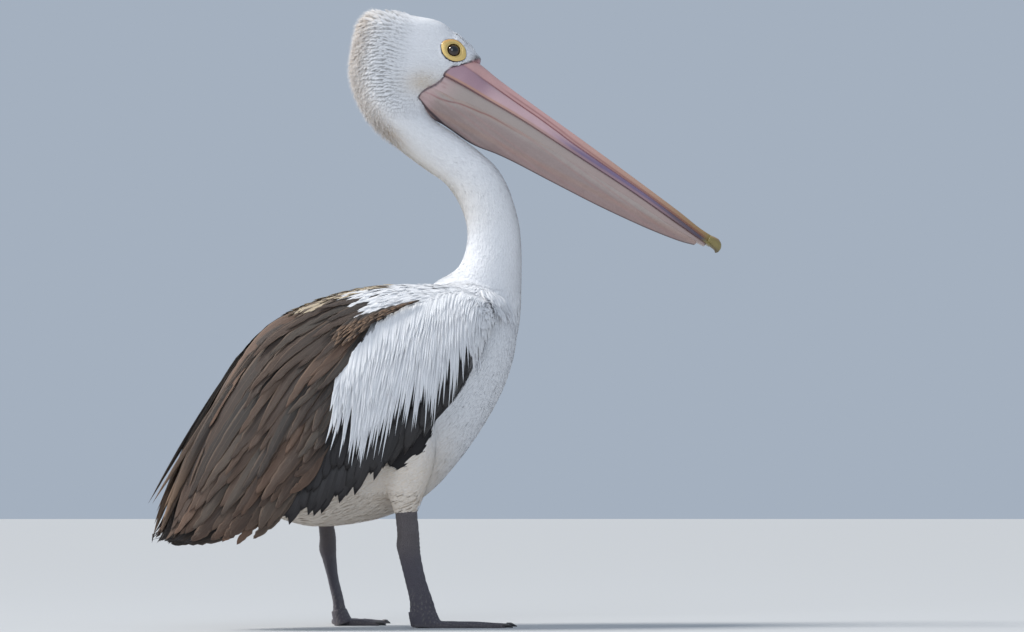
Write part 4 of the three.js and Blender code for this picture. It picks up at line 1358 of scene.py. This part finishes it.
# under quills at the tip, and the black ranks: count, heads and feet of its line, half width, heights
underQuills = {"count": 10, "half": 10.5, "lift": (-9, -6), "from": [(0.66, 0.05), (0.70, 0.9)],
               "to": [(1.12, 0.06), (1.09, 0.55), (1.03, 0.98)]}
blackRanks = [
    (26, [(0.60, 0.62), (0.42, 0.62), (0.25, 0.62), (0.13, 0.66)],
     [(0.73, 1.0), (0.56, 1.01), (0.39, 1.0), (0.21, 0.96)], 13, -8, -4.5),
    (26, [(0.55, 0.5), (0.40, 0.46), (0.25, 0.46), (0.10, 0.50)],
     [(0.68, 0.90), (0.51, 0.88), (0.35, 0.86), (0.15, 0.86)], 11, -6.5, -3.2),
    (22, [(0.48, 0.36), (0.36, 0.32), (0.22, 0.32), (0.09, 0.36)],
     [(0.62, 0.76), (0.47, 0.74), (0.31, 0.72), (0.13, 0.72)], 9, -6.5, -2.5)]


def flightFeathers(side, label, seed):
    # under quills spaced evenly between two lines, the brown sheet and its strips over them, and
    # ranks of black feathers along the lower edge
    rng = np.random.default_rng(seed)
    ink = tones["black"]
    n, rows = underQuills["count"], 20
    r = (np.arange(n) + 0.5) / n
    first, last = underQuills["from"], underQuills["to"]
    root, tip = between(first, first, r, 0), between(last, last, r, 0)
    tint = featherTint(rng, n, rows, [ink * 1.3, browns[4]], browns[1], 0.4)
    under = wingBatch(rng, side, root, tip, numbers(rng, n, underQuills["half"], 0.1),
                      [whole(n, h) for h in underQuills["lift"]], tint, rows, 7, worn=0.6, shape=strapVane)
    dark = [under, *brownSheet(rng, side), looseTips(rng, side), darkStrip(rng, side), backStrip(rng, side)]
    addFeathers("coat_wing_brown_" + label, "dark", dark, "dark_feathers")
    black = []
    for n, head, foot, half, low, high in blackRanks:
        rows = 15
        r = (np.arange(n) + rng.uniform(0.3, 0.7, n)) / n
        root, tip = between(head, foot, r, 0), between(head, foot, r, rng.uniform(0.9, 1.03, n))
        tint = featherTint(rng, n, rows, [ink, ink * 1.3, ink * 0.8], browns[4], 0.3)
        black.append(wingBatch(rng, side, root, tip, numbers(rng, n, half, 0.15),
                               (whole(n, low), numbers(rng, n, high, 0.2)), tint, rows, 7, worn=0.35))
    addFeathers("coat_wing_black_" + label, "black", black, "dark_feathers")


plumeRoots = [(0.50, 0.44), (0.44, 0.38), (0.38, 0.31), (0.32, 0.265), (0.27, 0.235), (0.22, 0.19),
              (0.17, 0.17), (0.12, 0.16), (0.07, 0.15), (0.03, 0.15), (-0.005, 0.2)]
plumeTips = [(0.57, 0.70), (0.55, 0.79), (0.53, 0.92), (0.505, 0.91), (0.47, 0.94), (0.415, 0.93),
             (0.365, 0.97), (0.31, 0.97), (0.24, 0.96), (0.185, 0.93), (0.10, 0.90)]


# layers: count, range of root and of tip along the line, half width, heights; mantle: count, range
# of roots in u and in f, length in u and f, half width, heights
plumeLayers = [(84, 0.28, 0.50, 0.80, 1.03, 3.9, -4.5, 1.4), (120, 0.10, 0.30, 0.62, 0.95, 3.5, -4.5, 1.2),
               (140, -0.02, 0.12, 0.44, 0.75, 3.7, -4.0, 0.8), (170, -0.08, 0.02, 0.24, 0.50, 4.2, -3.0, 0.6)]
mantle = [(330, -0.02, 0.37, -0.08, 0.205, 0.070, 0.025, 4.0, -4.0, -1.0),
          (260, -0.03, 0.12, 0.10, 0.97, 0.030, 0.14, 3.6, -5.0, -1.2)]


def plumes(side, label, seed):
    # long white plumes in layers on lines from plumeRoots to plumeTips, and over their roots the
    # short feathers of mantle, shoulder and bend
    rng = np.random.default_rng(seed)
    batches = []
    rows = 12
    white = [tones["white"], tones["white"] * 0.97, tones["white"] * 0.94]
    for n, startLow, startHigh, endLow, endHigh, half, low, high in plumeLayers:
        r = (np.arange(n) + rng.uniform(0.1, 0.9, n)) / n
        start, end = rng.uniform(startLow, startHigh, n), rng.uniform(endLow, endHigh, n)
        root, tip = between(plumeRoots, plumeTips, r, start), between(plumeRoots, plumeTips, r, end)
        tip = tip + np.column_stack([rng.normal(0, 0.006, n), np.zeros(n)])
        tint = featherTint(rng, n, rows, white, tones["white"], 0.5)
        batches.append(wingBatch(rng, side, root, tip, numbers(rng, n, half, 0.3),
                                 (numbers(rng, n, low, 0.2), numbers(rng, n, high, 0.3)), tint, rows, 5,
                                 camber=0.20, bow=rng.normal(0, 0.008, n), shape=plumeShape, patch=0.01,
                                 worn=0.05))
    rows = 8
    for n, uLow, uHigh, fLow, fHigh, du, df, half, low, high in mantle:
        root = np.column_stack([rng.uniform(uLow, uHigh, n), rng.uniform(fLow, fHigh, n)])
        edge = np.interp(root[:, 0], [0.22, 0.37], [1.0, 0.30])      # the white narrows to a wedge
        root[:, 1] = np.where(root[:, 1] < 0, root[:, 1] * edge, root[:, 1])
        tip = root + np.column_stack([numbers(rng, n, du, 0.25), numbers(rng, n, df, 0.4)])
        tint = featherTint(rng, n, rows, white, tones["white"], 0.5)
        batches.append(wingBatch(rng, side, root, tip, numbers(rng, n, half, 0.25),
                                 (whole(n, low), numbers(rng, n, high, 0.25)), tint, rows, 5, camber=0.22,
                                 shape=lance, patch=0.01))
    addFeathers("coat_plumes_" + label, "plume", batches, "white_feathers")


for side, label, seed in ((-1, "right", 41), (1, "left", 51)):
    flightFeathers(side, label, seed)
    plumes(side, label, seed + 1)


# tail
tail = {"root": (-188.0, 0.0, 208.0), "length": 160, "spread": 26, "count": 16, "half": 12,
        "coverts": 16, "covertPart": 0.55, "covertHalf": 11.0, "covertRise": 4.0}


def tailFeathers():
    # broad quills turned evenly over the spread, the middle ones longest, and coverts over their roots
    rng = np.random.default_rng(61)
    batches = []
    for count, part, half, low, tone in (
            (tail["count"], 1.0, tail["half"], 0.0, browns[1]),
            (tail["coverts"], tail["covertPart"], tail["covertHalf"], tail["covertRise"], browns[4])):
        rows = 14
        side = np.linspace(-1, 1, count)
        turn = np.radians(side * tail["spread"] / 2)
        length = tail["length"] * part * (1 - 0.10 * np.abs(side)) * rng.uniform(0.95, 1.0, count)
        way = np.stack([-0.88 * np.cos(turn), np.sin(turn), np.full(count, -0.45)], -1)
        t = np.linspace(0, 1, rows)
        root = np.array(tail["root"]) + np.stack([0 * side, side * 14, 0 * side], -1)
        path = root[:, None] + way[:, None] * (length[:, None] * t)[..., None]
        up = np.broadcast_to(unit(np.array([-0.45, 0.0, 0.88])), path.shape) + 0.0
        path = path + up * (low - 1.2 + 1.4 * (1 - np.abs(side)))[:, None, None]
        tint = featherTint(rng, count, rows, [tone], tones["rust"], 0.4)
        wide = half * notched(rng, broadVane, count, rows, 0.6)
        batches.append((path, up, wide, tint, 7, 0.12, 0.6, 0.95 + 0.0 * side,
                        0.03 + 0.94 * (side + 1) / 2, 0.02))
    addFeathers("coat_tail", "dark", batches, "dark_feathers")


tailFeathers()


# bill
lowerRows = [(-44, -4.6, -46, 31.2), (-40, -4.5, -45, 31), (10, -1, -33, 29), (52, 0.3, -23.5, 25.4),
             (110, 2, -19, 21.6), (196, 0.5, -17, 17.8), (306, -2, -17, 16.8), (380, -6.8, -18, 17.4),
             (416, -9, -16.5, 15.6), (436, -10, -15, 10)]
pouchRows = [(-44, -24, -73, 31.4), (-40, -24, -72, 31.4), (10, -19, -66, 29.6), (66, -14, -67.6, 25.4),
             (115, -11, -59.5, 21.6), (200, -9, -52.6, 17.9), (275, -9, -46.4, 16.8), (355, -11, -36.4, 16.6),
             (402, -13, -27.6, 15), (424, -14, -21, 10)]
grooveRows = [(-44, 23), (0, 22.8), (37, 21.4), (60, 20), (96, 18), (131, 16.4), (168, 13.6), (187, 11.8),
              (240, 9.0), (330, 4.2), (423, -4.5), (446, -6)]
ramusRows = [(-37, -42.6), (-24, -39.4), (-8, -37.9), (7, -33.9), (21, -28.7), (53, -23.2), (68, -20.4),
             (119, -18.5), (170, -17)]
upperSection = [(0, 1.0), (0.16, 0.992), (0.30, 0.955), (0.40, 0.86), (0.47, 0.70), (0.54, 0.60),
                (0.66, 0.56), (0.80, 0.47), (0.92, 0.30), (0.99, 0.12), (1.0, 0.02), (0.96, -0.03),
                (0.80, -0.02), (0.4, 0.03), (0, 0.05)]
rootSection = [(0, 1.0), (0.20, 0.992), (0.38, 0.965), (0.54, 0.91), (0.67, 0.83), (0.78, 0.72), (0.86, 0.62),
               (0.93, 0.48), (0.98, 0.30), (1.0, 0.12), (1.0, 0.02), (0.96, -0.03), (0.80, -0.02),
               (0.4, 0.03), (0, 0.05)]
# mauveAndShadow is the root's own mauve with painted shadow of the head in it
billTones = {
    "ridge": linear(206, 162, 158), "ridgeFar": linear(188, 150, 130), "groove": linear(122, 56, 60),
    "plate": linear(204, 170, 174), "mauveAndShadow": linear(158, 124, 138), "orange": linear(188, 140, 108),
    "blue": linear(98, 88, 124), "slate": linear(78, 70, 76), "olive": linear(140, 126, 78),
    "amber": linear(158, 126, 88), "grey": linear(168, 154, 148), "taupe": linear(156, 138, 134),
    "rose": linear(168, 134, 130), "seam": linear(100, 66, 62), "edge": linear(62, 52, 60),
    "lobe": linear(206, 172, 172)}


upperShape = {"reach": (-42, 443), "rows": 380, "columns": 48, "ends": ((-43, 15), (444.5, -3)),
              "rootShare": 0.60, "nostril": 96}


def upperBill():
    # section: a ridge, a groove and a side plate down to a thin edge, as shares of half width and
    # height; the groove's share follows its own line, dented by a bell, deeper at the nostril
    columns = upperShape["columns"]
    t = np.linspace(*upperShape["reach"], upperShape["rows"])[:, None]
    top, bottom, half = readAlong(upperRows, t[:, 0])
    groove = readAlong(grooveRows, t[:, 0])[0]
    share = (groove - bottom) / (top - bottom)
    q = np.linspace(0, 1, columns)
    early = smooth(34, 4, t)
    outer, root = (splineThrough([(a, b, 0) for a, b in rows_], q) for rows_ in (upperSection, rootSection))
    across, high = (outer[:, k][None] * (1 - early) + root[:, k][None] * early for k in (0, 1))
    share = share[:, None] * (1 - early) + upperShape["rootShare"] * early
    high = np.where(high > 0.60, share + (high - 0.60) / 0.40 * (1 - share), high / 0.60 * share)
    mirror = np.concatenate([np.arange(columns), np.arange(columns - 2, 0, -1)])
    sign = np.concatenate([np.ones(columns), -np.ones(columns - 2)])
    s = (across * half[:, None])[:, mirror] * sign
    h = (bottom[:, None] + high * (top - bottom)[:, None])[:, mirror]
    qq = np.broadcast_to(q[mirror], s.shape)
    tt = np.broadcast_to(t, s.shape)
    dent = bell(h - groove[:, None], 1.2 + 0.8 * smooth(200, 0, tt)) * (qq < 0.75)
    s = s - np.sign(s) * dent * (1.1 + 0.6 * bell(tt - upperShape["nostril"], 7)) * smooth(0, 30, tt)
    ripple = 0.12 * np.sin(tt * 0.9 + 3 * np.sin(qq * 30)) * smooth(60, 10, tt)
    points = fromBill(tt, tucked(tt, s, h), h + ripple)
    ends = [fromBill(x, 0.0, y) for x, y in upperShape["ends"]]
    flatPoints, faces = closedGrid(points, *ends)
    tint = upperTint(tt, h, bottom[:, None], groove[:, None], qq)
    tint = np.concatenate([tint.reshape(-1, 3), [billTones["mauveAndShadow"], billTones["olive"]]])
    madePiece("bill_top", flatPoints, faces, "bill", tint, "bill_skin", "bill_upper")


def tucked(t, s, h):
    # the bill's root is narrower by up to a fifth under the feathers, behind their line
    return s * (1 - 0.20 * smooth(0.3, 4.0, -edgeDistance(*billPlane(t, h))))


def edgeLine(t, h):
    # how close a point of the bill is to the feather line, 1 on it
    return smooth(2.4, 0.8, np.abs(edgeDistance(*billPlane(t, h))))


def upperTint(t, h, bottom, groove, q):
    # ridge pink to amber, dark red groove, pale plate turning blue-grey far out, orange edge, a mauve root
    # that is partly painted shadow and a painted highlight under the groove: smooth steps along t and bells
    # round heights
    b = billTones
    far = smooth(120, 330, t)
    ridge = layered(b["ridge"], t.shape, (b["ridgeFar"], far), (b["amber"], smooth(300, 430, t)))
    stripe = bell(h - groove - 5.0 + 3.0 * far, 1.3) * smooth(45, 90, t)
    line = bell(h - groove, 1.1) * (0.35 + 0.65 * smooth(20, 70, t))
    # painted highlight: a pale band just under the groove
    paintedHighlight = bell(h - groove + 2.6, 1.6) * smooth(40, 60, t) * smooth(260, 150, t)
    rim = bell(h - bottom - 2.0, 1.8)
    # the root's mauve: its own tint and painted shadow cast by the head
    return layered(b["plate"], t.shape, (b["mauveAndShadow"], 0.75 * smooth(62, 30, t)),
                   (b["blue"], smooth(140, 215, t) * 0.85), (b["slate"], smooth(300, 400, t) * 0.8),
                   (ridge, smooth(-1.0, 1.5, h - groove)), (b["groove"], 0.55 * stripe),
                   (b["groove"], 0.9 * line * (1 - 0.6 * far)), (b["lobe"], 0.6 * paintedHighlight),
                   (b["orange"], 0.75 * rim * smooth(250, 60, t)),
                   (b["rose"], 0.6 * rim * smooth(60, 160, t) * smooth(430, 330, t)),
                   (b["seam"], 0.8 * smooth(1.2, 0.0, h - bottom) * (q < 0.8)),
                   (b["olive"], smooth(424, 440, t)), (b["edge"], 0.85 * edgeLine(t, h)))


def tubePiece(name, rows, reach, counts, section, tintOf, look, slotName, node, relief=None):
    # a closed tube along the bill: half width and height from rows times section's shares, relief
    # added sideways
    t = np.linspace(*reach, counts[0])[:, None]
    top, bottom, half = (a[:, None] for a in readAlong(rows, t[:, 0]))
    angle = np.arange(counts[1])[None] / counts[1] * 2 * math.pi
    share, down = section(t, angle)
    s, h = half * share, top + (bottom - top) * down
    if relief:
        s = s + relief(t, s, h)
    tt = np.broadcast_to(t, s.shape)
    ends = [fromBill(t[k, 0] + e, 0.0, np.mean(h[k])) for k, e in ((0, -1.0), (-1, 1.5))]
    flatPoints, faces = closedGrid(fromBill(tt, tucked(tt, s, h), h), *ends)
    tint = tintOf(tt, h, top, bottom)
    tint = np.concatenate([tint.reshape(-1, 3), tint[0].mean(0)[None], tint[-1].mean(0)[None]])
    madePiece(name, flatPoints, faces, look, tint, slotName, node)


def jawSection(t, angle):
    # nearly upright sides and a rolled edge: a ring whose powers of five add up to 1
    c, s = np.cos(angle), np.sin(angle)
    r = (np.abs(c) ** 5 + np.abs(s) ** 5) ** (-1 / 5)
    return s * r * (1 - 0.03 * (1 - c)) + 0 * t, 0.5 - 0.5 * c * r + 0 * t


def ramusAt(t):
    # height of the line where jaw and pouch meet on the side, read from ramusRows
    return readAlong(ramusRows, t)[0]


def ramusLine(t, h):
    # how close a point is to that line: a bell round it that fades out along the bill
    return 0.75 * bell(h - ramusAt(t), 1.1) * smooth(150, 60, t) * smooth(-40, -28, t)


def jawTint(t, h, top, _):
    # grey-pink side, dark seam under the tomium, brown line above the pouch, two slanted creases
    b = billTones
    crease = bell(h + 14 - 0.25 * (t + 10), 1.0) * smooth(6, -6, t) * smooth(-34, -20, t)
    crease = crease + bell(h + 22 - 0.35 * (t + 16), 0.9) * smooth(-4, -12, t)
    return layered(b["grey"], t.shape, (b["lobe"], smooth(20, -30, t) * 0.7),
                   (b["rose"], 0.35 * smooth(120, 300, t)), (b["seam"], 0.35 * smooth(3.4, 2.0, top - h)),
                   (b["rose"], 0.7 * np.clip(crease, 0, 1)), (b["groove"], ramusLine(t, h)),
                   (b["edge"], 0.85 * edgeLine(t, h)))


def pouchSection(t, angle):
    # a hanging bag: wide at the top, drawn in to a narrow keel by a power of the way down
    c, s = np.cos(angle), np.sin(angle)
    down = 0.5 - 0.5 * c
    narrow = 1.03 - 0.70 * np.maximum((down - 0.18) / 0.82, 0) ** 1.3
    return np.sign(s) * np.abs(s) ** (0.14 + 0.66 * down) * narrow + 0 * t, down + 0 * t


def pouchFolds(t, s, h):
    # long shallow folds that run with the bill and wander a little: sines of h, bent by sines of t
    lines = np.sin(0.30 * h + 0.035 * t + 1.2 * np.sin(0.021 * t) + 0.6 * np.sin(0.09 * h))
    fine = np.sin(0.85 * h + 0.06 * t + 2.0 * np.sin(0.012 * t))
    part = np.minimum(np.abs(s) / 6, 1)
    return np.sign(s) * (0.55 * lines + 0.22 * fine - 0.4) * part * smooth(-16, -24, h + 0 * t)


def pouchTint(t, h, _, bottom):
    # taupe with faint ochre and red streaks that follow the folds, thin dark keel
    b = billTones
    streak = np.sin(0.42 * h + 0.03 * t + 1.6 * np.sin(0.017 * t + 0.2 * h))
    return layered(b["grey"], t.shape, (b["taupe"], smooth(0, 10, ramusAt(t) - h)),
                   (b["groove"], ramusLine(t, h)), (b["rose"], 0.38 * smooth(0.35, 1.0, streak)),
                   (b["orange"], 0.16 * smooth(0.5, 1.0, np.sin(0.21 * h - 0.02 * t + 1.0))),
                   (b["rose"], 0.35 * smooth(22, 4, h - bottom) * smooth(60, 120, t)),
                   (b["lobe"], 0.5 * smooth(-4, -26, t)), (b["edge"], 0.75 * smooth(2.2, 0.4, h - bottom)),
                   (b["edge"], 0.85 * edgeLine(t, h)))


upperBill()
tubePiece("bill_jaw", lowerRows, (-42, 436), (300, 44), jawSection, jawTint,
          "bill", "bill_skin", "bill_lower")
tubePiece("bill_pouch_skin", pouchRows, (-42, 423), (300, 124), pouchSection, pouchTint, "pouch",
          "pouch_skin", "bill_pouch", pouchFolds)

# top and bottom point in the bill's plane and half width
nailRows = [((437, 4.4), (437, -10.6), 12.8), ((444, 5.3), (441.5, -11), 11.6),
            ((450, 5.2), (445, -11.2), 9.6), ((456.5, 1.4), (450, -11.6), 7.4),
            ((459.6, -5), (453, -12.4), 4.6), ((459.2, -10), (455, -14.2), 2.2)]


def billNail():
    # the hooked tip: a loft through nailRows with a short dome
    rows = []
    for top, bottom, half in nailRows:
        rows.append([*fromBill(top[0], 0.0, top[1]), *fromBill(bottom[0], 0.0, bottom[1]), half, 2.2])
    points, faces = loftSolid(rows, 40, 36, (0, 1.2))
    d, _, z = toNeck(points)
    _, h = toBill(d, z)
    tint = layered(billTones["olive"], h.shape, (billTones["amber"], smooth(0, 5, h)),
                   (billTones["slate"], 0.6 * smooth(-6, -12, h)))
    madePiece("bill_hook", points, faces, "nail", tint, "bill_nail", "bill_nail")


billNail()
print("bill built")


# eyes
# the lids' radius and height from the rim over the ball out to the feathers
lidHeights = [(9.2, 6.4), (9.6, 8.4), (10.2, 9.5), (11.1, 10.1), (12.0, 9.9), (12.8, 10.3),
              (14.5, 10.5), (17.0, 9.8), (18.8, 8.7), (19.6, 7.2), (19.9, 3.0)]
eyeTones = {"pupil": linear(12, 10, 12), "iris": linear(52, 34, 24), "irisRim": linear(30, 20, 16),
            "white": linear(190, 160, 90), "gold": linear(222, 190, 116), "orange": linear(200, 146, 80),
            "line": linear(58, 44, 36), "outer": linear(52, 48, 60)}


def eyeBall(side, name):
    # a ball with a low rise over the iris; its colours are rings of the angle from its axis
    turn, angle = roundGrid(60, 72, 0.02, math.pi - 0.02)
    bulge = 0.9 * smooth(0.85, 0.2, turn)
    r = eye["radius"] - 0.4 + bulge
    points = fromEye(r * np.sin(turn) * np.cos(angle), r * np.sin(turn) * np.sin(angle),
                     r * np.cos(turn), side)
    ends = [fromEye(0.0, 0.0, z, side) for z in (eye["radius"] + 0.5, -eye["radius"] + 0.4)]
    flatPoints, faces = closedGrid(points, *ends)
    rays = 0.5 + 0.5 * np.sin(angle * 23 + 3 * np.sin(angle * 5))
    e = eyeTones
    iris = layered(e["iris"], turn.shape, (e["irisRim"], 0.5 * rays))
    tint = layered(e["pupil"], turn.shape, (iris, smooth(0.40, 0.46, turn)),
                   (e["irisRim"], smooth(0.72, 0.80, turn)), (e["white"], smooth(0.88, 0.93, turn)))
    tint = np.concatenate([tint.reshape(-1, 3), [e["pupil"], e["white"]]])
    madePiece("eyeball_" + name, flatPoints, faces, "ball", tint, "eye", "eye_" + name)


def eyeLids(side, name):
    # bare ring: height read along the radius, radius stretched to the almond outline, with low folds
    rows, columns = 64, 144
    profile = splineThrough([(a, b, 0) for a, b in lidHeights], np.linspace(0, 1, rows))
    angle = np.arange(columns)[None] / columns * 2 * math.pi
    r, c = profile[:, :1], profile[:, 1:2]
    out = smooth(9.5, 19.5, r)
    almond = 1 + 0.07 * np.cos(2 * angle) ** 2 * np.cos(angle) ** 2
    stretch = 1 + out * (eye["high"] / eye["long"] - 1)
    radial = np.sin(angle * 34 + 2 * np.sin(r))
    folds = (0.07 * np.sin(r * 3.3 + 0.9 * np.sin(angle * 3)) + 0.17 * radial) * smooth(11.5, 13.5, r)
    folds = folds * smooth(19.4, 18, r)
    a, b = r * np.cos(angle) * (1 + out * (almond - 1)), r * np.sin(angle) * stretch
    top = fromEye(a, b, c + folds, side)
    under = fromEye(a[::-1], b[::-1], np.full(a.shape, 1.0), side)
    points = np.concatenate([top, under[::8]])
    grid = gridFaces(len(points) + 1, columns)      # the last ring joins the first one
    faces = np.where(grid >= len(points) * columns, grid - len(points) * columns, grid)
    e = eyeTones
    below = smooth(0.2, 1.0, np.cos(angle - 2.2))
    crease = smooth(0.55, 1.0, radial) * smooth(0.1, 0.9, np.cos(angle - 2.2)) * out
    colour = layered(e["gold"], a.shape, (e["orange"], 0.8 * below * smooth(13, 17, r)),
                     (e["line"], 0.5 * crease), (e["line"], 0.35 * bell(r - 11.8, 0.45)),
                     (e["line"], 0.9 * smooth(10.0, 9.5, r)), (e["outer"], smooth(18.9, 19.4, r)))
    tint = np.concatenate([colour, np.broadcast_to(e["outer"], under[::8].shape)])
    if side > 0:
        faces = faces[:, ::-1]
    madePiece("eyelids_" + name, points, [faces], "ring", tint, "eye_ring", "eye_ring_" + name)


for side, label in ((-1, "right"), (1, "left")):
    eyeBall(side, label)
    eyeLids(side, label)
print("eyes built")


# legs and feet
# each toe's name, angle from straight ahead and length; along a toe: share, height and width
toes = [("outer", 20, 116), ("middle", -1, 130), ("inner", -25, 102), ("hind", -82, 56)]
legTones = {"slate": linear(92, 88, 96), "dull": linear(112, 104, 100), "web": linear(104, 98, 100),
            "scuff": linear(150, 142, 136), "claw": linear(42, 40, 42)}


toeRows = ((0, 1, 1), (0.3, 0.86, 0.9), (0.6, 0.66, 0.8), (0.85, 0.56, 0.72), (1, 0.4, 0.5))
clawRows = ((0.975, 6.4, 0.2, 3.5), (1.04, 6.2, 0.6, 2.8), (1.08, 4.2, 0.5, 1.8), (1.12, 1.6, 0.4, 0.8))
footMesh = {"voxel": 1.5, "easing": 3, "toeHigh": 12, "toeLow": -4.2, "toeHalf": 6.6,
            "web": 0.93, "clawRun": 104}


def toePoint(leg, angle, reach):
    # the place reach away from the heel, at an angle from the foot's own way
    turn = math.radians(leg["toeOut"] + angle) * leg["side"]
    return leg["heel"][0] + reach * math.cos(turn), leg["side"] * legApart + reach * math.sin(turn)


def legTint(points):
    # slate, duller at the ankle, scuffed near the foot where a product of two bent sines is high
    z = points[..., 2]
    noise = np.sin(points[..., 0] * 0.9 + 2 * np.sin(z * 0.21)) * np.sin(points[..., 1] * 1.1 + z * 0.35)
    return layered(legTones["slate"], z.shape, (legTones["dull"], 0.5 * smooth(80, 130, z)),
                   (legTones["scuff"], 0.45 * smooth(0.35, 0.9, noise) * smooth(70, 25, z)))


def shank(leg, name):
    # a loft raised by cross scutes in front, a root of a sine, and by small plates, sines' product
    (topX, topZ), (ankleX, ankleZ), (heelX, heelZ) = (leg[k] for k in ("top", "ankle", "heel"))
    middle = ((ankleX + heelX) / 2, (ankleZ + heelZ) / 2)
    rows = [legRow(leg, *row) for row in (
        ((topX, topZ + 6), 16.5, 11), ((ankleX, ankleZ + 16), 16.5, 12), (leg["ankle"], 17.5, 12.5),
        ((ankleX + 3, ankleZ - 16), 16.5, 10), (middle, 16, 7.2), ((heelX - 2, heelZ + 18), 18, 7.2),
        ((heelX + 1, heelZ - 5), 22, 10))]
    u, angle = roundGrid(170, 80)
    points, centre, _ = loftPoint(rows, u, angle)
    out = unit(points - centre)
    front = smooth(0.3, 0.9, np.cos(angle))
    scutes = np.abs(np.sin(u * 46 + 0.7 * np.cos(angle))) ** 0.5
    plates = np.abs(np.sin(u * 74 + 1.6 * np.sin(angle * 9)) * np.sin(angle * 9 + 0.5 * np.sin(u * 74)))
    relief = -0.9 + 0.7 * scutes * front + 0.45 * plates * (1 - front)
    points = points + out * relief[..., None]
    flatPoints, faces = closedGrid(points, centre[0, 0], centre[-1, 0])
    madePiece("leg_" + name, flatPoints, faces, "leg", legTint(flatPoints), "leg_skin", "shank_" + name)


def foot(leg, name):
    # toes, webs and crown melted into one foot, flat below; a web's edge bows in by half a sine
    heelX, heelZ = leg["heel"]
    crown = (((heelX - 1, heelZ + 5), 21, 10), ((heelX + 4, heelZ - 9), 23, 12), ((heelX + 8, 1.5), 25, 13))
    parts = [loftSolid([legRow(leg, *row) for row in crown], 12, 24)]
    for _, angle, length in toes:
        rows = []
        for along, high, wide in toeRows:
            x, y = toePoint(leg, angle, length * along)
            knuckle = 1 + 0.10 * math.sin(along * 14)
            rows.append([x, y, footMesh["toeHigh"] * high * knuckle, x, y, footMesh["toeLow"] * high,
                         footMesh["toeHalf"] * wide * knuckle, 2])
        parts.append(loftSolid(rows, 24, 20, (0, 3)))
    for (_, first, longA), (_, second, longB) in zip(toes, toes[1:]):
        rows = []
        for part in (0, 0.25, 0.5, 0.75, 1):
            bow = 1 - 0.22 * math.sin(part * math.pi)
            angle = first + (second - first) * part
            reach = (longA + (longB - longA) * part) * footMesh["web"] * bow
            rise = 1.6 + 0.6 * math.sin(part * math.pi)
            rows.append([*toePoint(leg, angle, 4), rise, *toePoint(leg, angle, reach), rise, 1.6, 4])
        parts.append(loftSolid(rows, 24, 20))
    piece = merged("webbed_foot_" + name, parts, footMesh["voxel"], footMesh["easing"])
    points = meshPoints(piece.data)
    points[:, 2] = np.maximum(points[:, 2], 0)
    movePoints(piece.data, points)
    paint(piece.data, mix(legTint(points), legTones["web"], 0.6 * smooth(7, 4, points[:, 2])))
    piece.data.materials.append(materials["leg"])
    finishPiece(piece, "leg_skin", "foot_" + name)


def claws(leg, name):
    # a short pointed loft past the end of each toe
    for toeName, angle, length in toes:
        rows = []
        for along, top, bottom, half in clawRows:
            x, y = toePoint(leg, angle, length + (along - 1) * footMesh["clawRun"])
            rows.append([x, y, top, x, y, bottom, half, 2])
        points, faces = loftSolid(rows, 20, 20)
        tint = layered(legTones["claw"], points.shape[:-1],
                       (legTones["scuff"], 0.25 * smooth(3, 6, points[:, 2])))
        madePiece("claw_horn_" + name + "_" + toeName, points, faces, "claw", tint, "claw",
                  "claw_" + name + "_" + toeName)


for label, leg in legs.items():
    shank(leg, label)
    foot(leg, label)
    claws(leg, label)
print("legs built")


# floor
def addFloor():
    # a wide flat disc under the soles
    angle = np.arange(96) / 96 * 2 * math.pi
    ring = np.stack([np.cos(angle), np.sin(angle), 0 * angle], -1)
    points = np.concatenate([[[0, 0, 0]], ring * studio["floorRadius"]]) - shift
    j = np.arange(96)
    faces = np.stack([0 * j, 1 + j, 1 + (j + 1) % 96], -1)
    material, _, shader, _ = startMaterial("studioFloor", Roughness=0.9)
    shader.inputs["Base Color"].default_value = (*studio["floor"], 1)
    addPiece("studio_floor", points, [faces], material)


addFloor()
